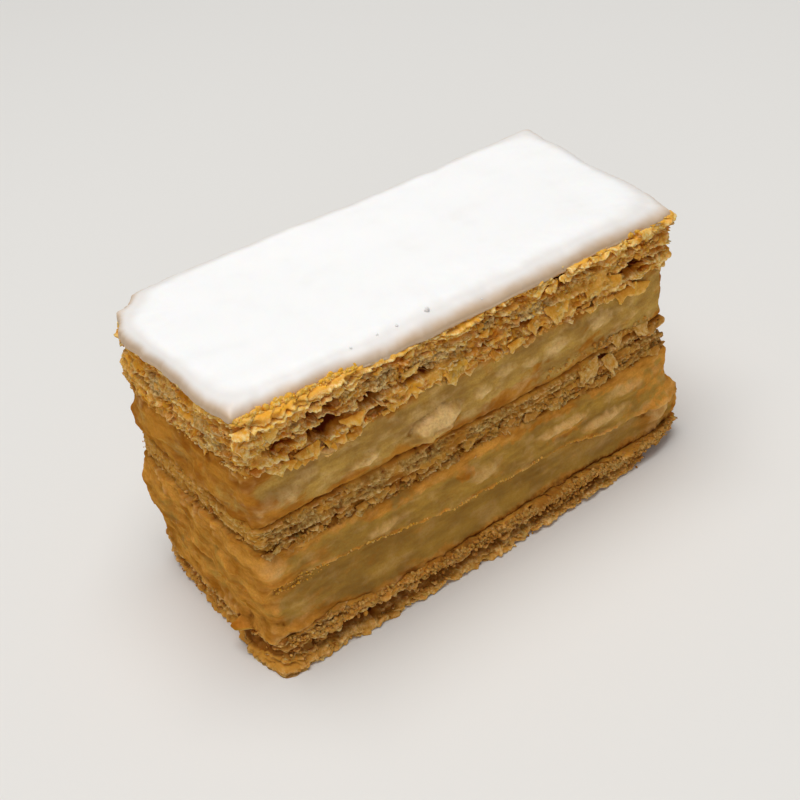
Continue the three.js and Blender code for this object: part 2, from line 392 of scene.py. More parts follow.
topSheet = {
    "name": "top_pastry", "joint": 4, "thickness": 11.8, "below": 0.2, "above": 0.3, "seed": 101,
    "columns": 1160, "rows": 74, "cornerRadius": 1.2,
    "overhang": (0.0, 0.0, 0.2, -0.1), "relief": (1.0, 1.0, 0.7, 0.9), "pale": (0.36, 0.35, 0.45, 0.35),
    "toneShift": (0, 0, 0.2, 0.1),
    "uneven": 0.8,  # waviness of its underside
    # its leaves from the lowest up: how far each stands out and how light it is. A leaf is set lighter the
    # further it stands out: painted light and shade.
    "steps": (-0.3, 0.4, 0.2, -0.5, 0.1, -0.3, 0.1, -0.8, 0.5),
    "lights": (0.3, 0.8, 0.6, 0.3, 0.6, 0.4, 0.6, 0.1, 1.0),
    "tearLength": (2.0, 9.0), "leafReach": (-0.8, 0.7), "leafDroop": 1.5,
    "leafThickness": 0.4, "lip": (-0.3, 0.9),
    "voidSize": (3.6, 1.3), "voidDepth": 1.5, "crumbSize": 2.1, "crumbDepth": 0.85, "crust": 1.2,
    "hollows": {"front": [(-34, 50.2, 4.8, 1.8, 1.0), (-34.5, 54.3, 4.0, 1.3, 0.9),
                          (-23.8, 51.8, 3.0, 1.3, 0.9), (-23.2, 48.2, 2.8, 1.0, 0.9),
                          (25, 55.0, 7.0, 1.2, 0.8), (40.5, 50.0, 3.6, 1.6, 0.8),
                          (-44.5, 51.5, 2.6, 0.9, 0.6), (-13, 51.2, 3.4, 0.9, 0.6),
                          (12, 50.0, 3.2, 0.8, 0.6)],
                "back": [(-30, 52, 4.4, 1.4, 0.9), (8, 54, 6, 1.2, 0.9), (30, 50, 4, 1.4, 0.9),
                         (-8, 49, 3, 1, 0.7)],
                "left": [(12, 52, 3, 1.0, 0.5), (-8, 50, 3, 0.8, 0.4)],
                "right": [(-6, 52, 4.4, 1.4, 0.9), (12, 50, 3.4, 1.2, 0.8), (-22, 52.5, 3, 2.5, 0.4)]},
    "palePlaces": {"front": [(-27, 55, 5, 2, 0.9), (-20, 54, 4, 2, 0.8), (-1, 52.6, 9, 1.8, 1.0),
                             (12, 52.4, 8, 1.8, 1.0), (-43, 54, 4, 1.8, 0.8)],
                   "left": [(4, 53.5, 20, 2.5, 0.5), (-14, 51, 6, 2.5, 0.5)]},
    "flakes": 240, "flakeLength": (1.2, 4.4), "flakeReach": (0.6, 2.0), "flakeDroop": (-0.1, 1.3),
    "clumps": 420, "clumpSize": (0.6, 1.5),
    "fringe": 120, "fringeLength": (1.8, 5.0), "fringeReach": (1.2, 3.2),
    "flakeShare": (1.0, 1.0, 0.25, 0.8),
    "placed": [(-53.0, 57.0, 4.4, 3.4, 74, 8, 1.0), (-49.8, 56.2, 4.6, 3.6, 78, -12, 1.0),
               (-51.4, 53.8, 2.4, 4.2, 84, 4, 1.0), (-46.4, 56.0, 3.2, 3.0, 70, -5, 0.9),
               (-52.0, 58.2, 4.0, 2.2, 40, 0, 1.0), (-6.0, 49.4, 5.0, 4.4, 82, 6, 0.8),
               (-3.4, 48.6, 3.8, 4.0, 80, -8, 0.7), (4.6, 48.6, 4.6, 3.8, 80, 5, 0.6),
               (7.6, 48.0, 3.8, 3.2, 82, -10, 0.7), (20.0, 51.6, 5.4, 4.2, 76, 0, 0.7),
               (24.6, 50.6, 5.8, 4.4, 80, 8, 0.75), (29.4, 51.4, 5.0, 4.2, 78, -6, 0.7),
               (38.0, 45.9, 5.6, 3.4, 82, 4, 0.85), (42.6, 45.6, 4.4, 3.6, 84, -8, 0.85),
               (45.0, 56.6, 4.6, 2.6, 70, 0, 1.0), (-38.0, 48.6, 4.2, 2.4, 60, 0, 0.8),
               (-29.0, 50.0, 4.4, 2.0, 30, -6, 0.85), (-20.0, 48.8, 3.6, 2.6, 66, 10, 0.7),
               (-14.0, 49.6, 4.0, 2.8, 70, -6, 0.8), (14.0, 50.0, 4.4, 3.0, 76, 4, 0.7),
               (34.0, 51.0, 4.6, 3.2, 70, -5, 0.8)],
    "bands": [(-50, -28, 56.8, 0.5, 8, 4.0, 1.5, 40, 0, 0.95),
              (-10, 2, 50.0, 1.0, 10, 2.8, 2.0, 60, 0, 0.8), (16, 48, 56.4, 0.6, 9, 4.4, 1.6, 44, 0, 0.95),
              (-45, -28, 47.2, 0.7, 12, 2.8, 2.0, 70, 0, 0.7)],
    "crumbs": 1100, "crumbOut": 0.0, "rimCrumbs": (900, 420),
    "crumbRows": [(-53.5, -46, 54.5, 2.8, 130, 0.6, 1.0, 0.3), (-14, 20, 57.0, 0.7, 100, 0.5, 0.8, 0.2),
                  (-30, 6, 53.2, 1.6, 220, 0.6, 0.7, 1.0), (6, 46, 51.0, 2.4, 220, 0.65, 0.95, 0.25)],
}
middleSheet = {
    "name": "middle_pastry", "joint": 2, "thickness": 6.5, "below": 0.2, "above": 0.2, "seed": 211,
    "columns": 1500, "rows": 50, "cornerRadius": 2.2,
    "overhang": (-0.3, -0.3, 0.2, -1.6), "relief": (0.8, 0.8, 0.6, 0.8), "pale": (0.9, 0.8, 0.2, 0.5),
    "toneShift": (0, 0, 0.3, 0.2),
    "uneven": 0.45,
    # each leaf is set lighter the further it stands out: painted light and shade
    "steps": (-0.1, -0.3, 0.2, 0.1, 0.3, 0.0), "lights": (0.3, 0.4, 0.6, 0.7, 0.7, 0.5),
    "tearLength": (1.5, 6.0), "leafReach": (-0.5, 0.4), "leafDroop": 0.9,
    "leafThickness": 0.28, "lip": (-0.3, 0.4),
    "voidSize": (2.2, 0.7), "voidDepth": 0.6, "crumbSize": 1.4, "crumbDepth": 0.55, "crust": 0.8,
    "hollows": {"front": [(31, 31.6, 2.6, 0.7, 0.3), (-36, 29.0, 3.0, 0.7, 0.6), (-44, 30.2, 2.2, 0.6, 0.5),
                          (51, 30.4, 4.0, 1.2, 0.5)],
                "right": [(-18, 30.6, 8, 1.4, 0.6)],
                "back": [(-10, 31, 3, 0.8, 0.6), (26, 30, 3, 0.8, 0.6)]},
    "palePlaces": {"front": [(0, 29.0, 60, 1.6, -0.8)],
                   "back": [(0, 28.6, 60, 1.4, -0.6)]},
    "flakes": 180, "flakeLength": (0.9, 2.6), "flakeReach": (0.6, 1.4), "flakeDroop": (0.2, 1.5),
    "clumps": 220, "clumpSize": (0.4, 0.9),
    "fringe": 110, "fringeLength": (1.2, 3.6), "fringeReach": (0.9, 2.2),
    "flakeShare": (1.0, 1.0, 0.2, 0.7),
    "placed": [(27.6, 32.4, 5.2, 4.4, 74, 6, 1.0), (32.6, 32.0, 5.6, 4.6, 74, -6, 0.95),
               (37.0, 31.0, 4.0, 3.8, 80, 8, 0.8), (35.4, 35.6, 4.4, 2.6, 66, 0, 1.0),
               (42.6, 34.8, 3.8, 2.4, 70, 5, 1.0), (-26, 29.6, 2.6, 1.8, 74, 0, 0.8),
               (12.0, 28.6, 3.4, 2.2, 78, 0, 0.6), (18.0, 28.2, 3.8, 2.4, 76, -8, 0.6),
               (-4.0, 30.4, 3.4, 2.2, 74, 0, 0.7)],
    "bands": [(-45, -8, 29.8, 0.6, 16, 2.2, 1.5, 66, 0, 0.75), (2, 26, 29.4, 0.7, 14, 2.4, 1.6, 70, 0, 0.6),
              (-4, 46, 27.2, 0.5, 18, 2.8, 2.0, 76, 0, 0.6)],
    "crumbs": 900, "crumbOut": 0.1, "rimCrumbs": None,
    "crumbRows": [(-52, 46, 27.6, 0.9, 220, 0.4, 0.6, 0.0), (16, 46, 35.2, 0.9, 70, 0.45, 0.8, 0.2)],
}
bottomSheet = {
    "name": "bottom_pastry", "joint": 0, "thickness": 6.2, "below": 0.0, "above": 0.2, "seed": 307,
    "columns": 1480, "rows": 46, "cornerRadius": 1.4,
    "overhang": (0.5, 0.0, 0.2, 0.1), "relief": (1.0, 1.0, 0.8, 1.0), "pale": (0.25, 0.2, 0.1, 0.2),
    "toneShift": (0, 0, 0.1, 0),
    "uneven": 0.4,
    # each leaf is set lighter the further it stands out: painted light and shade
    "steps": (0.8, -1.0, -0.1, 0.3), "lights": (0.9, 0.2, 0.4, 0.6),
    "tearLength": (3.0, 12.0), "leafReach": (-0.6, 0.7), "leafDroop": 1.4,
    "leafThickness": 0.5, "lip": (0.0, 0.8),
    "voidSize": (4.0, 0.9), "voidDepth": 1.0, "crumbSize": 1.5, "crumbDepth": 0.8, "crust": 0.0,
    "hollows": {"front": [(-52, 1.0, 9, 2.4, -0.2), (51, 0.4, 11, 2.6, 0.6), (-30, 3.4, 14.0, 1.2, 0.7),
                          (-6, 2.6, 12.0, 0.8, 0.5), (10, 2.6, 8.0, 0.9, 0.6), (28, 2.3, 9.0, 0.7, 0.5)],
                "back": [(-24, 2.8, 9, 0.9, 0.6), (14, 2.6, 12, 0.9, 0.6)],
                "left": [(0, 3.4, 12, 0.8, 0.5), (-16, 1.5, 8, 3.0, -0.3)],
                "right": [(2, 2.5, 12, 0.8, 0.6), (-20, 0.6, 8, 2.0, 0.3)]},
    "palePlaces": {"front": [(-34, 7.4, 14, 1.2, 0.9)]},
    "flakes": 150, "flakeLength": (1.0, 3.4), "flakeReach": (0.6, 1.6), "flakeDroop": (-0.1, 0.8),
    "clumps": 260, "clumpSize": (0.4, 1.0),
    "fringe": 0, "fringeLength": (1, 1), "fringeReach": (1, 1),
    "flakeShare": (1.0, 1.0, 0.6, 1.0),
    "placed": [(-53.4, 1.0, 4.0, 2.0, 20, 0, 0.9), (-50.0, 0.8, 4.4, 2.2, 12, 0, 0.9)],
    "bands": [(-52, 36, 0.9, 0.3, 36, 3.8, 1.5, 8, 0, 0.85), (-46, -22, 6.6, 0.4, 9, 4.4, 1.3, 24, 0, 0.8)],
    "crumbs": 450, "crumbOut": 0.7, "rimCrumbs": None,
    "crumbRows": [(-52, -20, 6.8, 0.7, 160, 0.4, 0.9, 0.3), (-24, 8, 5.6, 0.9, 320, 0.42, 0.75, 0.3),
                  (6, 30, 5.3, 0.8, 330, 0.5, 0.7, 0.4), (28, 51, 4.4, 0.8, 280, 0.5, 0.7, 0.4),
                  (6, 46, 3.2, 0.8, 120, 0.4, 0.7, 0.3)],
}


# What the three sheets share. Patterns are (strength, size in mm, step of the seed).
puffForm = {
    "hollowDepth": 4.2,                                 # mm
    "flakySize": 22, "tearSpacing": 12, "seedStep": 13,
    "ragged": ((0.35, 1.9, 3), (0.2, 0.8, 4)),          # a leaf's torn edge, and finer:
    "tatters": (0.08, 0.4),
    "leafAcross": (0, 0.6, 0.85, 1.0),                  # shares from a leaf's root to its lip
    "leafCrumple": ((0.22, (2.2, 2.2, evenUp), 0), (0.1, 0.8, 1)),
    "flakeCrumple": ((0.3, 1.6, 0), (0.14, 0.7, 1)),
    "window": (7, 8),                                   # rows and columns that a place stands out from
    # for each sheet, by its lower joint: the rings over its top, and how rough its top and underside are
    "overRings": {0: (0.985, 0.965, 0.94, 0.7, 0.3), 2: (0.93, 0.7, 0.3),
                  4: (0.985, 0.97, 0.955, 0.94, 0.92, 0.7, 0.3)},
    "underRings": {0: tuple(np.linspace(0.06, 0.99, 14)), 2: shellForm["under"], 4: shellForm["under"]},
    "rough": {0: (0.7, 0.35), 2: (0, 0.25), 4: (0, 0.25)},
    "randomGrid": (7, 4), "placedGrid": (15, 9),        # points across and along a flake
    "crumbGrid": (4, 6), "clumpGrid": (6, 8), "clumpFlat": 0.6,
}


def leafEdges(path, sheet):
    # For each leaf, all round: the height of its torn lower edge above the sheet's underside, how far
    # out it reaches, how much it droops and its tone. Stretches between two tears share one value.
    rng = np.random.default_rng(sheet["seed"])
    pitch = sheet["thickness"] / len(sheet["steps"])
    outline = wallPoint(path, 0)
    relief = sideValue(path, sheet["relief"])
    tatter, tatterSpacing = puffForm["tatters"]
    flaky = ramp(-0.3, 0.4, noise(outline, puffForm["flakySize"], sheet["seed"] + 90))
    flaky = np.clip(flaky + ramp(-20, -32, outline[:, 0]) * ramp(0, -0.5, path["v"]), 0, 1)
    leaves = []
    for leaf, (step, light) in enumerate(zip(sheet["steps"], sheet["lights"])):
        seed = sheet["seed"] + puffForm["seedStep"] * leaf
        which, count = tornStretches(path, sheet["tearLength"], rng)
        jog, reach, droop, tone, lip = rng.uniform(0, 1, (5, count))[:, which]
        edge = leaf + 0.25 + 0.5 * tornLine(path, puffForm["tearSpacing"], seed) + 0.5 * (jog - 0.5)
        edge = edge * pitch + waves(outline, seed, ((0.25 * pitch, 2.4, 1), (0.14, 0.8, 2)))
        ragged = waves(outline, seed, puffForm["ragged"]) + tatter * tornLine(path, tatterSpacing, seed + 5)
        out = step + mix(*sheet["leafReach"], reach ** 1.3) + ragged
        # a leaf's set lightness, which is painted light and shade, and its own random tone
        shade = light + 0.6 * (tone - 0.5) + sideValue(path, sheet["toneShift"])
        leaves.append({"edge": edge, "out": sideValue(path, sheet["overhang"]) + relief * out,
                       "droop": relief * mix(0.3, 1.0, droop) * sheet["leafDroop"],
                       "tone": np.clip(shade, 0, 1),
                       "lip": relief * (mix(*sheet["lip"], lip) + 0.8 * ragged - 1.1 * (1 - flaky))})
    return leaves


def roundLumps(points, size, seed):
    # Lumps of crumb: 0.65 - d^2, where d is the distance to the nearest scattered point, added to the
    # same at under half the size. The places are warped first, so that no lump is a ball.
    warped = points + 0.35 * size * noise(points, 0.8 * size, seed)[..., None]
    coarse, _ = cells(warped, size, seed + 1)
    fine, _ = cells(warped, 0.45 * size, seed + 2)
    return 0.65 - coarse ** 2 + 0.4 * (0.65 - fine ** 2)


def pastryCore(path, sheet, leaves):
    # The cut side: each leaf stands out at its torn lower edge and falls back under the next one up.
    # Flat bubbles between the strands, lumps of crumb and hollows shape that.
    joint, seed = sheet["joint"], sheet["seed"]
    low, high = jointsAt(path, joint)
    low = low - sheet["below"]
    if joint > 0:
        unevenness = noise(wallPoint(path, 0), 6, seed + 20) + 0.4 * tornLine(path, 1.6, seed + 21)
        low = low + sheet["uneven"] * unevenness
    pitch = sheet["thickness"] / len(sheet["steps"])
    wide, flat = sheet["voidSize"]
    relief = sideValue(path, sheet["relief"])

    def outward(t, wall):
        height = t * sheet["thickness"] + 0 * wall[..., 0]
        laid = at3(wall[..., 0], wall[..., 1], height)
        side = sideValue(path, sheet["overhang"]) - 0.5 + 0 * height
        tone = sheet["lights"][0] + 0 * height
        for leaf in leaves:
            covers = ramp(-0.06, 0.16, height - leaf["edge"])
            up = (height - leaf["edge"]) / pitch
            side = mix(side, leaf["out"] - leaf["droop"] * ramp(0.05, 1.1, up), covers)
            tone = mix(tone, leaf["tone"], covers)
        hollow = onSides(path, wall, sheet["hollows"], 0.9 * noise(laid, 2.5, seed + 9))
        bent = laid + at3(0, 0, 0.2 * wide * noise(laid, (4, 4, 3), seed + 11))
        first, second = cells(bent, (wide, wide, flat), seed + 5)
        bubble = ramp(0.1, 0.45, second - first) * ramp(-0.5, 0.35, noise(laid, (9, 9, 3), seed + 8))
        crumbs = roundLumps(laid, sheet["crumbSize"], seed + 6)
        side = side + relief * (sheet["crumbDepth"] * crumbs - sheet["voidDepth"] * bubble)
        side = side - puffForm["hollowDepth"] * hollow
        fromJoint = height if joint == 4 else np.minimum(height, sheet["thickness"] - height)
        # towards the joints the leaves are darker: the browned crust of each sheet, and partly painted
        # shade in the seams with the custard
        if sheet["crust"] > 0:
            side = side - 0.7 * relief * ramp(0.5, 0, fromJoint)
            tone = tone * (1 - 0.5 * ramp(sheet["crust"], 0, fromJoint))
        raised = standOut(side, *puffForm["window"])
        places = onSides(path, wall, sheet["palePlaces"], noise(laid, 4, seed + 13))
        pale = np.clip(sideValue(path, sheet["pale"]) + places, 0, 1)
        pale = pale * ramp(0.2, sheet["crust"] + 0.4, fromJoint)
        # painted shade where the side lies back from its surroundings and in the hollows, and painted
        # highlight (edge) where it stands out
        paintedShade = np.clip(ramp(0.0, -2.2, raised) + 0.9 * hollow, 0, 1)
        return side, {"paintedShade": paintedShade, "tone": tone, "pale": pale, "edge": ramp(0.4, 2.0, raised)}

    rings = puffForm["underRings"][joint], puffForm["overRings"][joint]
    rough = puffForm["rough"][joint]
    return layerShell(path, low, high + sheet["above"], sheet["rows"], outward, rings, rough)


def leafRing(path, sheet, leaf, seed):
    # A thin sheet round the bar from a root inside the core out to its torn lip, which droops, and
    # back underneath: offset = half its thickness either way, crumpled by noise.
    low, high = jointsAt(path, sheet["joint"])
    wall = wallPoint(path, mix(low, high, (leaf["edge"] + 0.12) / sheet["thickness"]))
    hollow = onSides(path, wall, sheet["hollows"])
    tip = leaf["out"] + leaf["lip"] - puffForm["hollowDepth"] * hollow
    root = np.minimum(leaf["out"] - 2.0, tip - 0.5)
    across = np.array(puffForm["leafAcross"])
    skins = []
    for side, share in ((1, across[:, None]), (-1, across[::-1, None])):
        out = mix(root, tip, share)
        sag = 0.5 * leaf["droop"] * np.clip(out - leaf["out"] + 0.7, 0, 2) ** 2
        points = pushOut(wall + 0 * out[..., None], path, out)
        points[..., 2] += side * sheet["leafThickness"] / 2 * (1.1 - share) - 0.4 * sag
        points[..., 2] += waves(points, seed, puffForm["leafCrumple"])
        skins.append(points)
    points = np.concatenate(skins)
    # painted highlight towards the torn lip, painted shade towards the root and in the hollows
    edge = np.concatenate([across, across[::-1]])[:, None] ** 2 * np.clip(0.5 + leaf["lip"], 0, 1)
    values = {"paintedShade": np.clip(0.35 - 0.5 * edge + hollow, 0, 1), "tone": leaf["tone"] + 0 * edge,
              "pale": sideValue(path, sheet["pale"]) + 0 * edge, "edge": edge}
    return points.reshape(-1, 3), ringFaces(len(points), len(path["u"])), values


def flakeFaces(across, along):
    # Two skins of a small sheet and the rim between them.
    a, b = np.meshgrid(np.arange(across - 1), np.arange(along - 1), indexing="ij")
    first = (a * along + b).ravel()
    top = np.stack([first, first + along, first + along + 1, first + 1], axis=-1)
    size = across * along
    loop = np.concatenate([np.arange(along), np.arange(1, across) * along + along - 1,
                           (across - 1) * along + np.arange(along - 2, -1, -1),
                           np.arange(across - 2, 0, -1) * along])
    after = np.roll(loop, -1)
    rim = np.stack([loop, after, after + size, loop + size], axis=-1)
    return np.concatenate([top, top[:, ::-1] + size, rim])


def flakeSheets(spot, z, out, flakes, grid, seed):
    # Each flake is a lobed half disc of thin crumpled pastry: as long as its length along the wall, as
    # wide as its reach out from its root, and bent down by its droop and curl.
    # Half disc: a = p sqrt(1 - 0.5 q q), b = q sqrt(1 - 0.6 p p), and its rim is moved by sines of p
    # and q with random phases. All are one array: flake, skin, p, q.
    rng = np.random.default_rng(seed)
    roots = pushOut(wallPoint(spot, z), spot, out)
    count = len(roots)
    across, along = grid
    p = np.linspace(-1, 1, across)[None, :, None]
    q = np.linspace(0, 1, along)[None, None, :]
    length, reach, droop, turn, thickness, tone, pale = [
        (flakes[key] + np.zeros(count))[:, None, None]
        for key in ("length", "reach", "droop", "turn", "thickness", "tone", "pale")]
    phase, other, curl, shear, bow, yaw = rng.uniform(-1, 1, (6, count, 1, 1))
    lobes = 0.15 * np.sin(3.2 * p + 3 * phase) + 0.07 * np.sin((6 + 2 * bow) * p + 3 * other)
    lobes = lobes + 0.05 * rng.uniform(-1, 1, (count, across, 1))
    flank = 1 + 0.1 * np.sin(5 * q + 3 * other) + 0.04 * rng.uniform(-1, 1, (count, 1, along))
    a = length / 2 * (p * np.sqrt(1 - 0.5 * q * q) * flank + 0.3 * shear * q)
    b = reach * q * np.sqrt(1 - 0.6 * p * p) * (1 + lobes * q)
    angle = droop + (0.3 + 0.6 * curl) * (q - 0.5)
    bend = (0.08 + 0.15 * bow) * length * p ** 2
    sheetOut = b * np.cos(angle) + bend * np.sin(angle) - 0.35
    down = b * np.sin(angle) - bend * np.cos(angle)
    a, down = a * np.cos(turn) + down * np.sin(turn), down * np.cos(turn) - a * np.sin(turn)
    twist = 0.4 * yaw
    a, sheetOut = a * np.cos(twist) - sheetOut * np.sin(twist), sheetOut * np.cos(twist) + a * np.sin(twist)
    flat = at3(a + 40 * np.arange(count)[:, None, None], b, 0)
    crumple = waves(flat, seed, puffForm["flakeCrumple"]) * (0.4 + 0.6 * q)
    half = thickness / 2 * (1 - 0.7 * q * q)
    outs = at3(spot["nx"], spot["ny"], 0)[:, None, None, :]
    tangent = at3(-spot["ny"], spot["nx"], 0)[:, None, None, :]
    skins = []
    for side in (1, -1):
        lift = side * half + crumple
        away = (sheetOut + lift * np.sin(angle))[..., None]
        upward = at3(0, 0, 1) * (lift * np.cos(angle) - down)[..., None]
        skins.append(roots[:, None, None, :] + tangent * a[..., None] + outs * away + upward)
    points = np.stack(skins, axis=1)
    # painted highlight towards the flake's rim and painted shade at its root, more highlight on the
    # lightest flakes
    edge = np.broadcast_to(np.maximum(q, 0.6 * abs(p)) ** 2, (count, across, along))
    edge = np.stack([edge, edge], axis=1)
    light = 0.5 * ramp(0.85, 1, tone[:, None])
    values = {"paintedShade": np.clip(0.25 - 0.4 * edge - light, 0, 1), "tone": tone[:, None] + 0 * edge,
              "pale": pale[:, None] + 0 * edge, "edge": np.clip(0.8 * edge + light, 0, 1)}
    faces = flakeFaces(across, along)[None] + (np.arange(count) * 2 * across * along)[:, None, None]
    return points.reshape(-1, 3), [faces.reshape(-1, 4)], values


def crumbLumps(spot, z, out, radius, values, seed, grid=puffForm["crumbGrid"], flat=1.0):
    # Crumbs: balls of a few rings, each squashed at random, flattened, and knocked out of round by
    # noise.
    rng = np.random.default_rng(seed)
    rings, columns = grid
    tilt = np.linspace(0.2, 0.8, rings)[:, None] * np.pi
    turn = np.arange(columns) * 2 * np.pi / columns
    ball = at3(np.sin(tilt) * np.cos(turn), np.sin(tilt) * np.sin(turn), -np.cos(tilt) + 0 * turn)
    ball = np.concatenate([ball.reshape(-1, 3), [[0, 0, -1], [0, 0, 1]]])
    count = len(z)
    squash = rng.uniform(0.55, 1.2, (count, 1, 3)) * np.array([1, 1, flat])
    knocked = 1 + 0.35 * fractal(ball + 9.0 * np.arange(count)[:, None, None], 0.9, seed, 2, 0.6)
    centres = pushOut(wallPoint(spot, z), spot, out)
    points = centres[:, None] + ball * squash * knocked[..., None] * np.asarray(radius)[:, None, None]
    starts = (np.arange(count) * len(ball))[:, None, None]
    faces = [(f[None] + starts).reshape(-1, f.shape[1]) for f in shellFaces(rings, columns)]
    spread = {key: np.repeat(np.broadcast_to(value, count), len(ball)) for key, value in values.items()}
    return points.reshape(-1, 3), faces, spread


def ringSpots(rng, count, places=6000, radius=1.2):
    # Random places all round the outline.
    ring = planPath(places, radius)
    pick = rng.integers(0, places, count)
    return {key: ring[key][pick] for key in ("u", "v", "nx", "ny")}


def frontSpots(x, z):
    # Places on the front face at x and z.
    halfLength = mix(bar["baseLength"], bar["topLength"], z / bar["topHeight"]) / 2
    return facePath("front", np.clip(x / halfLength, -0.99, 0.99))


def chosen(spot, keep):
    return {key: (value[keep] if np.ndim(value) else value) for key, value in spot.items()}


def joined(groups):
    # Several groups of places or values as one.
    return {key: np.concatenate([group[key] for group in groups]) for key in groups[0]}


def inHollow(spot, z, sheet):
    return onSides(spot, wallPoint(spot, z), sheet["hollows"])


def sheetFlakes(sheet):
    # Random flakes all round the cut side, a fringe that hangs from its lower edge, then the ones listed
    # for the front.
    rng = np.random.default_rng(sheet["seed"] + 50)
    parts = []
    for kind, count in (("flake", sheet["flakes"]), ("fringe", sheet["fringe"])):
        if count == 0:
            continue
        isFlake = kind == "flake"
        spot = ringSpots(rng, count)
        low, high = jointsAt(spot, sheet["joint"])
        size = rng.uniform(0, 1, count) ** 1.8
        where = rng.uniform(*((0.02, 0.96) if isFlake else (0.0, 0.16)), count)
        droop = rng.uniform(*(sheet["flakeDroop"] if isFlake else (1.1, 1.55)), count)
        flakes = {"length": mix(*sheet[kind + "Length"], size),
                  "reach": mix(*sheet[kind + "Reach"], size * rng.uniform(0.5, 1, count)),
                  "thickness": sheet["leafThickness"] * rng.uniform(0.8, 1.4, count), "droop": droop,
                  "turn": rng.normal(0, 0.3, count), "tone": rng.uniform(0, 1, count),
                  "pale": sideValue(spot, sheet["pale"]) * 0.8}
        out = sideValue(spot, sheet["overhang"]) + rng.uniform(-0.4, 0.5, count)
        z = mix(low, high, where)
        keep = inHollow(spot, z, sheet) < 0.12
        keep &= rng.uniform(0, 1, count) < sideValue(spot, sheet["flakeShare"])
        parts.append(flakeSheets(chosen(spot, keep), z[keep], out[keep], chosen(flakes, keep),
                                 puffForm["randomGrid"], sheet["seed"] + 51))
    placed = list(sheet["placed"])
    for first, last, rowZ, spread, many, *rest in sheet["bands"]:
        xs = np.linspace(first, last, many) + rng.uniform(-1, 1, many)
        placed += [(x, rowZ + spread * lift, *rest) for x, lift in zip(xs, rng.uniform(-1, 1, many))]
    x, z, length, reach, droop, turn, tone = np.array(placed, dtype=float).T
    longer, further, lower, turned, outer = rng.uniform(-1, 1, (5, len(x)))
    flakes = {"length": length * (1 + 0.25 * longer), "reach": reach * (1 + 0.2 * further),
              "droop": np.radians(droop + 12 * lower), "turn": np.radians(turn + 14 * turned), "tone": tone,
              "thickness": sheet["leafThickness"] * 1.3, "pale": 0.2 * sheet["pale"][0]}
    out = sheet["overhang"][0] + 0.1 + 0.3 * outer
    parts.append(flakeSheets(frontSpots(x, z), z, out, flakes, puffForm["placedGrid"], sheet["seed"] + 52))
    return joinParts(parts)


def sheetCrumbs(sheet):
    # Loose crumbs that cling to the cut side, most of them near the sheet's lower edge, the rows of them
    # listed for the front, and for the top sheet the ones under the icing's edge.
    rng = np.random.default_rng(sheet["seed"] + 60)

    def sunk(many):
        return 0.4 - 0.9 * rng.uniform(0, 1, many)

    many = sheet["crumbs"]
    where = [ringSpots(rng, many)]
    low, high = jointsAt(where[0], sheet["joint"])
    groups = [{"z": mix(low, high, rng.uniform(-0.1, 1, many) ** 2 * 0.95),
               "pale": sideValue(where[0], sheet["pale"]), "tone": rng.uniform(0.2, 1, many),
               "radius": 0.2 + 0.6 * rng.uniform(0, 1, many) ** 2.4, "inward": sunk(many)}]
    for first, last, rowZ, spread, many, radius, tone, pale in sheet["crumbRows"]:
        x, z = rng.uniform(first, last, many), rowZ + spread * rng.uniform(-1, 1, many)
        where.append(frontSpots(x, z))
        groups.append({"z": z, "pale": np.full(many, pale), "tone": tone * rng.uniform(0.8, 1.05, many),
                       "radius": radius * rng.uniform(0.4, 1.4, many), "inward": sunk(many)})
    if sheet["rimCrumbs"]:
        # crumbs in the seam under the icing, and on the ledge that it leaves bare
        allRound, onLedge = sheet["rimCrumbs"]
        many = allRound + onLedge
        seam = joined([ringSpots(rng, allRound), frontSpots(rng.uniform(-53, -26, onLedge), 58)])
        bare = icingSetBack(seam) + 0.15
        lift = np.append(rng.uniform(-0.4, 0.3, allRound), rng.uniform(0.1, 0.5, onLedge))
        where.append(seam)
        groups.append({"z": jointHeight(5, seam["u"], seam["v"]) + lift, "pale": 0 * bare,
                       "tone": rng.uniform(0.7, 1.05, many),
                       "radius": 0.2 + 0.6 * rng.uniform(0, 1, many) ** 1.5,
                       "inward": bare * rng.uniform(0, 1, many)})
    spot, crumbs = joined(where), joined(groups)
    keep = inHollow(spot, crumbs["z"], sheet) < 0.3
    out = sideValue(spot, sheet["overhang"]) + sheet["crumbOut"] - crumbs["radius"] - crumbs["inward"]
    crumbs, out = chosen(crumbs, keep), out[keep]
    # a little painted shade on every crumb, and a painted highlight of random strength
    values = {"paintedShade": 0.1, "tone": crumbs["tone"], "pale": crumbs["pale"],
              "edge": rng.uniform(0, 0.8, keep.sum()) * crumbs["tone"]}
    return crumbLumps(chosen(spot, keep), crumbs["z"], out, crumbs["radius"], values, sheet["seed"] + 61)


def sheetClumps(sheet):
    # Bigger lumps of crumb, half sunk in the cut side, flattened as the leaves are.
    rng = np.random.default_rng(sheet["seed"] + 64)
    count = sheet["clumps"]
    spot = ringSpots(rng, count)
    z = mix(*jointsAt(spot, sheet["joint"]), rng.uniform(0.06, 0.94, count))
    radius = mix(*sheet["clumpSize"], rng.uniform(0, 1, count) ** 2)
    keep = inHollow(spot, z, sheet) < 0.1
    out = sideValue(spot, sheet["overhang"]) + sheet["crumbOut"]
    out = out + rng.uniform(-0.9, 0.2, count) - 0.6 * radius
    spot = chosen(spot, keep)
    # a little painted shade on every lump, and a painted highlight of random strength
    values = {"paintedShade": 0.15, "tone": rng.uniform(0.2, 1, keep.sum()),
              "pale": sideValue(spot, sheet["pale"]), "edge": rng.uniform(0, 0.6, keep.sum())}
    return crumbLumps(spot, z[keep], out[keep], radius[keep], values, sheet["seed"] + 65,
                      puffForm["clumpGrid"], puffForm["clumpFlat"])


